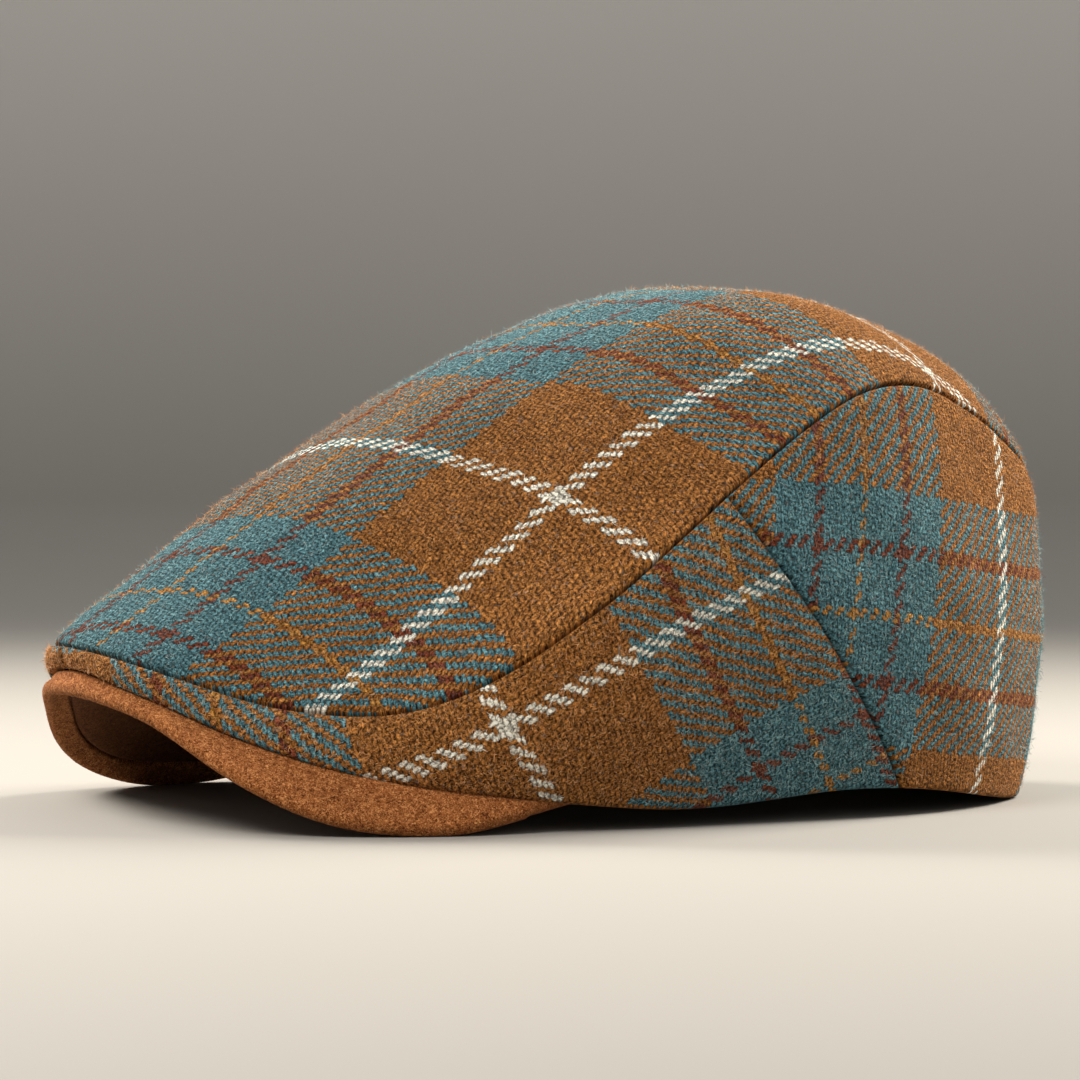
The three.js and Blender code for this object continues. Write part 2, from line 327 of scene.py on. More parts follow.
@dataclass
class FlatPattern:
    """The flat shape that a curved panel is cut to: a map from surface to plane that keeps lengths.

    The map is a polynomial in the panel's own parameters, both from -1 to 1, that strains the
    cloth as little as it can. Its origin is the middle of the parameters.
    """

    surface: Callable[[Array, Array], Array]
    across_degree: int
    up_degree: int
    samples: Array
    weights: Array = field(init=False)

    STEP = 1e-4
    ROUNDS = 40
    TRIES = 12
    FIRST_DAMPING = 1e-3
    LEAST_DAMPING = 1e-9

    def __post_init__(self) -> None:
        """Work the map out."""
        across, up = self.samples[:, 0], self.samples[:, 1]
        step_across = self._slope(self.surface, across, up, 0)
        step_up = self._slope(self.surface, across, up, 1)
        length = np.linalg.norm(step_across, axis=1)
        lean = (step_across * step_up).sum(1) / length
        height = np.sqrt(np.maximum((step_up**2).sum(1) - lean**2, TINY))
        share = np.sqrt(length * height / (length * height).sum())
        slope_across = self._slope(self._terms, across, up, 0)
        slope_up = self._slope(self._terms, across, up, 1)
        first = slope_across / length[:, None]
        second = (slope_up - (lean / length)[:, None] * slope_across) / height[:, None]
        points = self.surface(across, up)
        start = self._first_guess(points, across, up)
        self.weights = self._least_strain(first, second, share, start)
        self._square_up()

    def place(self, across: Array, up: Array) -> Array:
        """Give the place on the flat pattern of each parameter pair."""
        return self._terms(across, up) @ self.weights

    def _terms(self, across: Array, up: Array) -> Array:
        """List the polynomial's terms along the last axis.

        Args:
            across: The first parameter, from -1 to 1.
            up: The second parameter, from -1 to 1.

        Returns:
            Each term's value, with one more axis than the parameters.
        """
        powers = [
            (i, j)
            for j in range(self.up_degree + 1)
            for i in range(self.across_degree + 1 - j)
        ]
        return np.stack([across**i * up**j for i, j in powers], -1)

    def _slope(
        self, made: Callable[[Array, Array], Array], across: Array, up: Array, axis: int
    ) -> Array:
        """Give how fast a function changes with one of the two parameters.

        Args:
            made: The function.
            across: The first parameter, from -1 to 1.
            up: The second parameter, from -1 to 1.
            axis: 0 for the first parameter and 1 for the second.

        Returns:
            The slopes, shaped like what the function gives.
        """
        move = (self.STEP, 0.0) if axis == 0 else (0.0, self.STEP)
        ahead = made(across + move[0], up + move[1])
        behind = made(across - move[0], up - move[1])
        return (ahead - behind) / (2 * self.STEP)

    def _first_guess(self, points: Array, across: Array, up: Array) -> Array:
        """Lay the panel on its own best plane, as the start of the search.

        Args:
            points: Points of the surface, one row a sample.
            across: The samples' first parameters.
            up: The samples' second parameters.

        Returns:
            The weights of the terms, with a column for each flat coordinate.
        """
        centre = points.mean(0)
        spread = np.linalg.svd(points - centre, full_matrices=False)[2]
        flat = (points - centre) @ spread[:2].T
        return np.linalg.lstsq(self._terms(across, up), flat, rcond=None)[0]

    def _least_strain(self, first: Array, second: Array, share: Array, start: Array) -> Array:
        """Find the polynomial that strains the cloth least, by damped Gauss-Newton steps.

        Args:
            first: Slope of each term along a unit step across the surface, one row a sample.
            second: The same along a unit step square to the first.
            share: Each sample's weight.
            start: The weights to start from.

        Returns:
            The weights of the terms, with a column for each flat coordinate.
        """
        weight = share[:, None]
        root = math.sqrt(2)

        def strain(weights: Array) -> tuple[Array, Array, Array]:
            """Give both slopes of the flat coordinates, and the strains that they mean.

            Args:
                weights: The weights of the terms.

            Returns:
                The slopes along the two unit steps, and one list of strains.
            """
            one, two = first @ weights, second @ weights
            stretch = (one**2 + two**2 - 1) * weight
            shear = root * share * (one[:, 0] * one[:, 1] + two[:, 0] * two[:, 1])
            return one, two, np.concatenate([stretch[:, 0], stretch[:, 1], shear])

        weights, damping = start, self.FIRST_DAMPING
        one, two, faults = strain(weights)
        for _ in range(self.ROUNDS):
            x_slopes = weight * (one[:, :1] * first + two[:, :1] * second)
            y_slopes = weight * (one[:, 1:] * first + two[:, 1:] * second)
            none = np.zeros_like(first)
            jacobian = np.concatenate(
                [
                    np.concatenate([2 * x_slopes, none], 1),
                    np.concatenate([none, 2 * y_slopes], 1),
                    root * np.concatenate([y_slopes, x_slopes], 1),
                ]
            )
            square, pull = jacobian.T @ jacobian, jacobian.T @ faults
            for _ in range(self.TRIES):
                damped = square + damping * np.diag(np.diag(square) + self.LEAST_DAMPING)
                step = np.linalg.solve(damped, pull).reshape(2, -1).T
                trial = strain(weights - step)
                if (trial[2] ** 2).sum() < (faults**2).sum():
                    break
                damping *= 4
            weights, damping = weights - step, max(damping / 5, self.LEAST_DAMPING)
            one, two, faults = trial
        return weights

    def _square_up(self) -> None:
        """Put the origin at the middle of the parameters, with up on the panel along +Y."""
        middle = np.zeros(1)
        self.weights[0] -= self.place(middle, middle)[0]
        up = self._slope(self.place, middle, middle, 1)[0]
        across = self._slope(self.place, middle, middle, 0)[0]
        if across[0] * up[1] - across[1] * up[0] < 0:
            self.weights[:, 0] *= -1
            up[0] *= -1
        turn = math.atan2(-up[0], up[1])
        cosine, sine = math.cos(turn), math.sin(turn)
        self.weights = self.weights @ np.array([[cosine, -sine], [sine, cosine]])


# ---- Meshes ----------------------------------------------------------------------------------
def sheet_faces(rows: int, columns: int) -> Array:
    """List the quads of a closed shell: an outer grid, then an inner one, and the edges between.

    Args:
        rows: Points down each grid.
        columns: Points along each row.

    Returns:
        Quads of vertex numbers, facing out where the outer grid's rows and columns turn left.
    """
    number = np.arange(rows * columns).reshape(rows, columns)
    inner = number + rows * columns

    def quads(*corners: Array) -> Array:
        """Join four matching runs of corners into quads."""
        return np.stack([corner.ravel() for corner in corners], -1)

    rim = np.concatenate([number[0, :], number[1:, -1], number[-1, -2::-1], number[-2::-1, 0]])
    inner_rim = rim + rows * columns
    return np.concatenate(
        [
            quads(number[:-1, :-1], number[:-1, 1:], number[1:, 1:], number[1:, :-1]),
            quads(inner[:-1, :-1], inner[1:, :-1], inner[1:, 1:], inner[:-1, 1:]),
            quads(rim[1:], rim[:-1], inner_rim[:-1], inner_rim[1:]),
        ]
    )


def build_piece(
    name: str,
    points: Array,
    faces: list[list[int]],
    cloth: Array | None = None,
    sharp: float = 50.0,
) -> Any:
    """Make a smooth mesh object.

    Args:
        name: The piece's name.
        points: Points, with x, y and z along the last axis.
        faces: The numbers of each face's vertices.
        cloth: Warp and weft yarn counts at each vertex, for the "Cloth" UV map.
        sharp: The angle between faces past which an edge looks sharp, in degrees.

    Returns:
        The new object, in the scene.
    """
    mesh = bpy.data.meshes.new(name)
    mesh.from_pydata(points.reshape(-1, 3).tolist(), [], faces)
    mesh.shade_smooth()
    mesh.set_sharp_from_angle(angle=math.radians(sharp))
    if cloth is not None:
        layer = mesh.uv_layers.new(name="Cloth")
        layer.data.foreach_set("uv", cloth[np.ravel(faces)].astype(np.float32).ravel())
    mesh.validate()
    piece = bpy.data.objects.new(name, mesh)
    bpy.context.scene.collection.objects.link(piece)
    return piece


EDGE_ANGLES = np.radians(np.arange(0, 91, 15))
PAST_ROLL = np.array([0.5, 1.2, 2.1, 3.2]) * MM


def edge_steps(radius: float) -> Array:
    """List distances from a rolled edge: close together round the roll, then wider apart."""
    return np.concatenate([radius * (1 - np.cos(EDGE_ANGLES)), radius + PAST_ROLL])


def roll_depth(distance: Array, radius: float) -> Array:
    """Give how far a rolled edge falls away, at distances in from the edge."""
    left = np.clip(1 - distance / radius, 0, 1)
    return radius * (1 - np.sqrt(1 - left**2))


@dataclass(frozen=True)
class Sway:
    """The soft unevenness of a sewn and pressed crown: a few long waves through space."""

    height: float = 0.32 * MM
    wave: float = 34 * MM
    spread: tuple[float, float] = (0.6, 1.6)
    count: int = 9
    seed: int = 5

    def at(self, points: Array) -> Array:
        """Give how far the cloth stands out at points.

        Args:
            points: Points in space, with x, y and z along the last axis.

        Returns:
            Distances, positive outwards.
        """
        random = np.random.default_rng(self.seed)
        total = np.zeros(points.shape[:-1])
        for _ in range(self.count):
            way = unit(random.normal(size=3)) * 2 * np.pi
            way = way / (self.wave * random.uniform(*self.spread))
            total += np.sin(points @ way + random.uniform(0, 2 * np.pi))
        return self.height * total / math.sqrt(self.count)


# ---- Cloth panels ----------------------------------------------------------------------------
class Side(Enum):
    """The two sides of the cap; the value is the sign of x."""

    LEFT = 1
    RIGHT = -1


@dataclass
class ClothPanel:
    """A panel of tweed: a shell round its outer surface, with rolled edges.

    The surface is a function of two parameters from -1 to 1, and `edge_distances` gives how far a
    parameter pair is from the panel's sewn edges and from its hem. The cloth puffs out beside its
    seams, and its normals turn to the seam's own, or level at the hem, over the blends' lengths.
    """

    name: str
    placement: ClothPlacement
    side: Side = Side.LEFT
    roll: float = 1.2 * MM
    hem_roll: float = CLOTH_THICK / 2 - 0.04 * MM
    puff: float = 0.38 * MM
    puff_reach: float = 3.5 * MM
    seam_blend: float = 3 * MM
    hem_blend: float = 4 * MM
    sway: Sway = Sway()
    pattern: FlatPattern = field(init=False)

    STEP = 1e-3

    def grid(self, gap: float) -> tuple[Array, Array]:
        """Give the two parameters of each point of a grid that stops a gap short of the seams."""
        raise NotImplementedError

    def surface(self, across: Array, up: Array) -> Array:
        """Give points of the outer surface before any roll."""
        raise NotImplementedError

    def edge_distances(self, across: Array, up: Array) -> tuple[Array, Array]:
        """Give the distances to the nearest sewn edge and to the hem."""
        raise NotImplementedError

    def normals(self, across: Array, up: Array) -> Array:
        """Give the directions in which the cloth's thickness runs, outwards."""
        raise NotImplementedError

    def slopes(self, across: Array, up: Array) -> tuple[Array, Array]:
        """Give how fast the surface moves with each parameter.

        Args:
            across: The first parameter, from -1 to 1.
            up: The second parameter, from -1 to 1.

        Returns:
            The slope for the first parameter, and for the second.
        """
        beside = self.surface(across + self.STEP, up) - self.surface(across - self.STEP, up)
        ahead = self.surface(across, up + self.STEP) - self.surface(across, up - self.STEP)
        return beside / (2 * self.STEP), ahead / (2 * self.STEP)

    def raised(self, across: Array, up: Array, height: Array) -> Array:
        """Raise points of the surface along its normals, over the crown's own unevenness.

        Args:
            across: The first parameter, from -1 to 1.
            up: The second parameter, from -1 to 1.
            height: How far to raise each point.

        Returns:
            The points, none of them under the floor.
        """
        points = self.surface(across, up)
        rise = self.sway.at(points) + height
        return clear_floor(points + self.normals(across, up) * rise[..., None])

    def shell(self) -> tuple[Array, Array, Array]:
        """Work out the outer grid, inner grid and yarn counts.

        Returns:
            Outer points, inner points and yarn counts, each with two grid axes first.
        """
        across, up = self.grid(SEWN_GAP)
        seam, hem = self.edge_distances(across, up)
        swell = self.puff * (seam / self.puff_reach) * np.exp(1 - seam / self.puff_reach)
        fall = np.maximum(roll_depth(seam, self.roll), roll_depth(hem, self.hem_roll))
        outer = self.raised(across, up, swell - fall)
        inside = self.grid(LINING_GAP)
        rise = roll_depth(self.edge_distances(*inside)[1], self.hem_roll)
        inner = self.raised(*inside, rise - CLOTH_THICK)
        counts = self.placement.yarns(self.pattern.place(across, up))
        if self.side is Side.RIGHT:
            mirror = np.array([-1, 1, 1])
            return outer * mirror, inner * mirror, counts * [-1, 1]
        return outer, inner, counts

    def build(self) -> Any:
        """Make the panel's object.

        Returns:
            The new object.
        """
        outer, inner, counts = self.shell()
        faces = sheet_faces(*outer.shape[:2])
        if self.side is Side.RIGHT:
            faces = faces[:, ::-1]
        yarns = np.tile(counts.reshape(-1, 2), (2, 1))
        return build_piece(self.name, np.stack([outer, inner]), faces.tolist(), yarns)

    def flat_size(self) -> tuple[float, float, float]:
        """Measure the flat pattern.

        Returns:
            The width and length of the smallest rectangle that holds it, and its own area.
        """
        flat = self.pattern.place(*self.grid(SEWN_GAP))
        places = flat.reshape(-1, 2)
        turns = np.radians(np.arange(0, 90, 1.0))
        cosines, sines = np.cos(turns), np.sin(turns)
        turned = [places @ np.array([[c, -s], [s, c]]) for c, s in zip(cosines, sines)]
        boxes = np.array([np.ptp(spread, axis=0) for spread in turned])
        width, length = boxes[boxes.prod(1).argmin()]
        first, second = flat[1:, 1:] - flat[:-1, :-1], flat[1:, :-1] - flat[:-1, 1:]
        area = 0.5 * np.abs(first[..., 0] * second[..., 1] - first[..., 1] * second[..., 0]).sum()
        return float(width), float(length), float(area)


@dataclass
class TopPanel(ClothPanel):
    """The one panel over the crown, sewn to the wall all round. Its parameters cover a disc."""

    lines: int = 200
    radius: float = 118 * MM
    degree: int = 8

    RINGS = 22
    RING_TURN = 7.5
    LAST_RING = 0.999
    SEAM_STEP = 0.004

    def __post_init__(self) -> None:
        """Flatten the panel."""
        shares = (np.arange(self.RINGS) + 0.5) / self.RINGS
        rings, turns = np.sqrt(shares), np.radians(np.arange(0, 360, self.RING_TURN))
        ring, turn = (part.ravel() for part in np.meshgrid(self.LAST_RING * rings, turns))
        places = np.stack([ring * np.sin(turn), -ring * np.cos(turn)], -1)
        self.pattern = FlatPattern(self.surface, self.degree, self.degree, places)

    def surface(self, across: Array, up: Array) -> Array:
        """Give points of the panel, for places in a disc that has the front at -1 up."""
        return top_point(np.degrees(np.arctan2(across, -up)), 1 - np.hypot(across, up))

    def grid(self, gap: float) -> tuple[Array, Array]:
        """Lay a square grid out as a disc, with its lines crowded towards the seam.

        Args:
            gap: How far the grid stops short of the seams.

        Returns:
            The two parameters of each point.
        """
        near = 1 - (edge_steps(self.roll) + gap) / self.radius
        inside = np.linspace(0, near[-1], (self.lines - 2 * len(near)) // 2 + 1)[:-1]
        half = np.concatenate([inside, near[::-1]])
        line = np.concatenate([-half[:0:-1], half])
        across, up = np.meshgrid(line, line)
        ring = np.maximum(np.abs(across), np.abs(up))
        wide = np.abs(across) > np.abs(up)
        safe = np.where(ring > 0, ring, 1)
        lean = np.pi / 4 * np.where(wide, up, across) / safe
        one, other = ring * np.cos(lean), ring * np.sin(lean)
        sideways = np.where(wide, one * np.sign(across), other)
        return sideways, np.where(wide, other, one * np.sign(up))

    def edge_distances(self, across: Array, up: Array) -> tuple[Array, Array]:
        """Give the distance to the seam; the top has no hem.

        Args:
            across: The first parameter, from -1 to 1.
            up: The second parameter, from -1 to 1.

        Returns:
            The distance to the seam, and one metre for the hem.
        """
        turn, ring = np.degrees(np.arctan2(across, -up)), np.hypot(across, up)
        at_seam = np.zeros(turn.shape)
        seam = top_point(turn, at_seam)
        inward = top_point(turn, at_seam + self.SEAM_STEP) - seam
        along = unit(top_point(turn + TURN_STEP, at_seam) - seam)
        square = inward - along * (inward * along).sum(-1)[..., None]
        distance = (1 - ring) / self.SEAM_STEP * np.linalg.norm(square, axis=-1) - SEWN_GAP
        return np.maximum(distance, 0), np.ones(turn.shape)

    def normals(self, across: Array, up: Array) -> Array:
        """Give the surface's normals, leaning to the seam's own near the seam.

        Args:
            across: The first parameter, from -1 to 1.
            up: The second parameter, from -1 to 1.

        Returns:
            Vectors of length one.
        """
        smooth = unit(np.cross(*self.slopes(across, up)))
        distance = self.edge_distances(across, up)[0]
        near = np.exp(-((distance / self.seam_blend) ** 2))[..., None]
        turn = np.degrees(np.arctan2(across, -up))
        return unit(lerp(smooth, seam_normal(turn), near))


@dataclass
class WallPanel(ClothPanel):
    """A panel of the wall, between two upright seams. Up runs from the hem to the top seam."""

    columns: int = 200
    rows: int = 100
    across_degree: int = 9
    up_degree: int = 4

    SAMPLES = (49, 17)
    NEAR_EDGE = 0.998
    NEARER_EDGE = 0.999

    def __post_init__(self) -> None:
        """Flatten the panel."""
        across, up = np.meshgrid(*(np.linspace(-1, 1, count) for count in self.SAMPLES))
        places = np.stack([across.ravel(), up.ravel()], -1)
        self.pattern = FlatPattern(self.surface, self.across_degree, self.up_degree, places)

    def seam_turns(self, level: Array) -> tuple[Array, Array]:
        """Give the turns of the panel's first and last upright seams at a level."""
        raise NotImplementedError

    def turn(self, across: Array, level: Array) -> Array:
        """Give the turn at a share of the way between the two seams."""
        first, last = self.seam_turns(level)
        return lerp(first, last, (across + 1) / 2)

    def surface(self, across: Array, up: Array) -> Array:
        """Give points of the wall."""
        level = (up + 1) / 2
        return wall_point(self.turn(across, level), level)

    def spans(self, across: Array, up: Array) -> tuple[Array, Array]:
        """Give how far the surface moves for one step of each parameter, square to the other.

        Args:
            across: The first parameter, from -1 to 1.
            up: The second parameter, from -1 to 1.

        Returns:
            The movement for the first parameter, and for the second.
        """
        beside, ahead = self.slopes(across, up)
        area = np.linalg.norm(np.cross(beside, ahead), axis=-1)
        return area / np.linalg.norm(ahead, axis=-1), area / np.linalg.norm(beside, axis=-1)

    def crowded(self, count: int, first: Array, last: Array, gap: float) -> Array:
        """Spread parameters from -1 to 1 so that they crowd towards both ends.

        Args:
            count: How many parameters to give.
            first: The surface's span for one step of the parameter at -1.
            last: The same at +1.
            gap: How far the panel stops short of the ends.

        Returns:
            The parameters, with the new axis first.
        """
        steps = edge_steps(self.roll)
        room = (first + last) / 2 * 0.8
        squeeze = np.minimum(1, room / (steps[-1] + gap) * 0.9)
        near = (steps.reshape((-1,) + (1,) * np.ndim(first)) + gap) * squeeze
        start, end = -1 + near / first, 1 - near[::-1] / last
        share = np.linspace(0, 1, count - 2 * len(steps) + 2)[1:-1]
        middle = lerp(start[-1], end[0], share.reshape((-1,) + (1,) * np.ndim(first)))
        return np.concatenate([start, middle, end])

    def grid(self, gap: float) -> tuple[Array, Array]:
        """Give the parameters of a grid that crowds towards all four edges.

        Args:
            gap: How far the grid stops short of the seams.

        Returns:
            The two parameters of each point.
        """
        rough = np.linspace(-1, 1, self.columns)
        high = np.full(rough.shape, self.NEARER_EDGE)
        for _ in range(2):
            bottom, top = self.spans(rough, -high)[1], self.spans(rough, high)[1]
            up = self.crowded(self.rows, bottom, top, 0.0)
            side = np.full(up.shape[0], self.NEARER_EDGE)
            left, right = self.spans(-side, up[:, 0])[0], self.spans(side, up[:, -1])[0]
            across = self.crowded(self.columns, left, right, gap).T
            rough = across[self.rows // 2]
        return across, np.minimum(up, 1 - gap / self.spans(rough, high)[1])

    def edge_distances(self, across: Array, up: Array) -> tuple[Array, Array]:
        """Give the distances to the nearest of three seams, and to the hem.

        Args:
            across: The first parameter, from -1 to 1.
            up: The second parameter, from -1 to 1.

        Returns:
            The distance to the nearest seam, and to the hem.
        """
        edge = np.full(across.shape, self.NEAR_EDGE)
        inner_across, inner_up = np.clip(across, -edge, edge), np.clip(up, -edge, edge)
        left = self.spans(-edge, inner_up)[0] * (across + 1)
        right = self.spans(edge, inner_up)[0] * (1 - across)
        top = self.spans(inner_across, edge)[1] * (1 - up)
        hem = self.spans(inner_across, -edge)[1] * (up + 1)
        seam = np.minimum(np.minimum(left, right), top) - SEWN_GAP
        return np.maximum(seam, 0), np.maximum(hem, 0)

    def normals(self, across: Array, up: Array) -> Array:
        """Give the surface's normals, level at the hem and leaning to the seam's own at the top.

        Args:
            across: The first parameter, from -1 to 1.
            up: The second parameter, from -1 to 1.

        Returns:
            Vectors of length one.
        """
        level = (up + 1) / 2
        turn = self.turn(across, level)
        smooth = surface_normal(wall_point, turn, level)
        inner_across = np.clip(across, -self.NEAR_EDGE, self.NEAR_EDGE)
        spans = self.spans(inner_across, np.zeros(up.shape))[1]
        top = np.exp(-(((1 - up) * spans / self.seam_blend) ** 2))[..., None]
        hem = np.exp(-(((1 + up) * spans / self.hem_blend) ** 2))[..., None]
        level_out = unit(smooth * [1, 1, 0])
        return unit(lerp(unit(lerp(smooth, level_out, hem)), seam_normal(turn), top))


@dataclass
class SidePanel(WallPanel):
    """The long side panel, from the centre front to the side seam."""

    def seam_turns(self, level: Array) -> tuple[Array, Array]:
        """Run from the centre front to the side seam."""
        return np.zeros(np.shape(level)), side_seam_turn(level)


@dataclass
class BackPanel(WallPanel):
    """The back panel, from the side seam to the centre back."""

    def seam_turns(self, level: Array) -> tuple[Array, Array]:
        """Run from the side seam to the centre back."""
        return side_seam_turn(level), np.full(np.shape(level), HALF_TURN)


# ---- The peak --------------------------------------------------------------------------------
def peak_place(turn: Array, out: Array) -> tuple[Array, Array]:
    """Give a point of the peak's top face and the plate's normal there.

    Args:
        turn: Angles from the centre front, in degrees.
        out: Distances from the crown's axis.

    Returns:
        The points and the normals.
    """
    turn, out = np.broadcast_arrays(turn, out)
    hem_out = WALL.at("hem_out", turn)
    last_out = peak_rim_out(turn) - PEAK_THICK / 2
    past = np.maximum(out - hem_out, 0) / np.maximum(last_out - hem_out, LEAST_REACH)
    point = around_axis(turn, out, np.zeros(turn.shape))
    droop = PEAK.at("droop", turn) * np.minimum(past, PAST_RIM) ** 2
    point[..., 2] = plate_top(turn, point) - droop
    across = point[..., 0] / PEAK_BEND_RADIUS
    ahead = np.full(turn.shape, -PEAK_FORWARD_SLOPE)
    return point, unit(np.stack([across, ahead, np.ones(turn.shape)], -1))


def peak_rim_out(turn: Array) -> Array:
    """Give how far the peak's rim is from the crown's axis."""
    return WALL.at("hem_out", turn) + PEAK.at("reach", turn)


@dataclass
class PeakPiece:
    """A piece of the peak: a closed section, worked out at each turn across the brow."""

    name: str
    columns: int = 300
    half_turn: float = PEAK_HALF_TURN
    sharp: float = 60.0
    unevenness: Sway = Sway(height=0.22 * MM, wave=30 * MM, seed=11)

    def section(self, turn: Array) -> Array:
        """Give the closed section at each turn, as rows of points."""
        raise NotImplementedError

    def skin(self) -> Array:
        """Give the sections' points, a little uneven.

        Returns:
            Points, with the turns and then the sections' own points as axes.
        """
        turns = np.linspace(-self.half_turn, self.half_turn, self.columns)[:, None]
        points = self.section(turns)
        return clear_floor(points + self.unevenness.at(points)[..., None] * [0, 0, 1])

    def build(self) -> Any:
        """Make the piece's object.

        Returns:
            The new object.
        """
        points = self.skin()
        count, loop = points.shape[:2]
        number = np.arange(count * loop).reshape(count, loop)
        after = np.roll(number, -1, axis=1)
        walls = np.stack([number[:-1], after[:-1], after[1:], number[1:]], -1).reshape(-1, 4)
        caps = [number[0, ::-1].tolist(), number[-1].tolist()]
        return build_piece(self.name, points, walls.tolist() + caps, sharp=self.sharp)


def below(place: tuple[Array, Array], depth: Any) -> Array:
    """Give the points at a depth under the peak's top face."""
    point, normal = place
    return point - normal * np.asarray(depth)[..., None]


@dataclass
class PeakCover(PeakPiece):
    """The suede over the top of the peak, turned round its rim to the groove underneath."""

    groove_roll: float = 0.9 * MM
    recess: float = 2.3 * MM
    coarse_share: float = 0.6
    coarse_steps: int = 14
    fine_steps: int = 34
    rim_steps: int = 17

    SHOWN = slice(6, 46)

    def section(self, turn: Array) -> Array:
        """Run over the top, round the rim, back to the groove and through the recess.

        Args:
            turn: Angles from the centre front, in degrees.

        Returns:
            Points, with one more axis for the section's own.
        """
        inner_out, rim_out = PEAK.at("inner_out", turn), peak_rim_out(turn)
        last_out, groove_out = rim_out - PEAK_THICK / 2, rim_out - GROOVE_INSET
        coarse = np.linspace(0, self.coarse_share, self.coarse_steps)[:-1]
        fine = np.linspace(self.coarse_share, 1, self.fine_steps)
        top_out = lerp(inner_out, last_out, np.concatenate([coarse, fine])[None, :])
        top = peak_place(turn, top_out)[0]
        last, normal = peak_place(turn, last_out)
        angle = np.radians(turn)
        outward = np.stack([np.sin(angle), -np.cos(angle), 0 * angle], -1)
        outward = unit(outward - (outward * normal).sum(-1, keepdims=True) * normal)
        swing = np.radians(np.linspace(90, -90, self.rim_steps)[1:-1])[None, :, None]
        radius = PEAK_THICK / 2
        centre = last - normal * radius
        rim = centre + radius * (outward * np.cos(swing) + normal * np.sin(swing))
        back = edge_steps(self.groove_roll)[::-1]
        reach = groove_out + np.minimum(back, GROOVE_INSET - PEAK_THICK / 2)[None, :]
        fall = roll_depth(back, self.groove_roll)[None, :] * np.ones_like(turn)
        under = below(peak_place(turn, reach), PEAK_THICK - fall)
        hidden_out = lerp(groove_out, inner_out, np.linspace(0, 1, 6)[None, :])
        hidden = below(peak_place(turn, hidden_out), np.full(hidden_out.shape, self.recess))
        return np.concatenate([top, rim, under, hidden], 1)[:, ::-1]

    def shown(self) -> tuple[Array, Array]:
        """Give the part of the skin that shows, with its place numbers, for loose fibres."""
        skin = self.skin()[:, self.SHOWN]
        return skin, np.stack(np.indices(skin.shape[:2]), -1).astype(float)


@dataclass
class PeakUnderside(PeakPiece):
    """The suede panel let into the underside of the peak, puffed up a little inside its edge."""

    half_turn: float = PEAK_HALF_TURN - 1.0
    panel_thick: float = 1.4 * MM
    edge_roll: float = 0.9 * MM
    puff: float = 0.45 * MM
    puff_reach: float = 3 * MM

    def section(self, turn: Array) -> Array:
        """Run over the hidden face and back along the face that shows.

        Args:
            turn: Angles from the centre front, in degrees.

        Returns:
            Points, with one more axis for the section's own.
        """
        inner_out = PEAK.at("inner_out", turn)
        edge_out = peak_rim_out(turn) - GROOVE_INSET - SEAM_GAP
        hidden_out = lerp(inner_out, edge_out, np.linspace(0, 1, 6)[None, :])
        depth = PEAK_THICK - self.panel_thick
        hidden = below(peak_place(turn, hidden_out), np.full(hidden_out.shape, depth))
        distance = np.concatenate([edge_steps(self.edge_roll), np.linspace(5, 9, 5) * MM])[None, :]
        edge = edge_out - distance * np.ones_like(turn)
        wide = lerp(edge[:, -1:], inner_out, np.linspace(0, 1, 20)[None, 1:])
        shown_out = np.concatenate([np.maximum(edge, inner_out), np.maximum(wide, inner_out)], 1)
        inside = edge_out - shown_out
        swell = self.puff * (inside / self.puff_reach) * np.exp(1 - inside / self.puff_reach)
        fall = roll_depth(inside, self.edge_roll)
        shown = below(peak_place(turn, shown_out), PEAK_THICK - fall + swell * (fall <= 0))
        return np.concatenate([hidden, shown], 1)[:, ::-1]


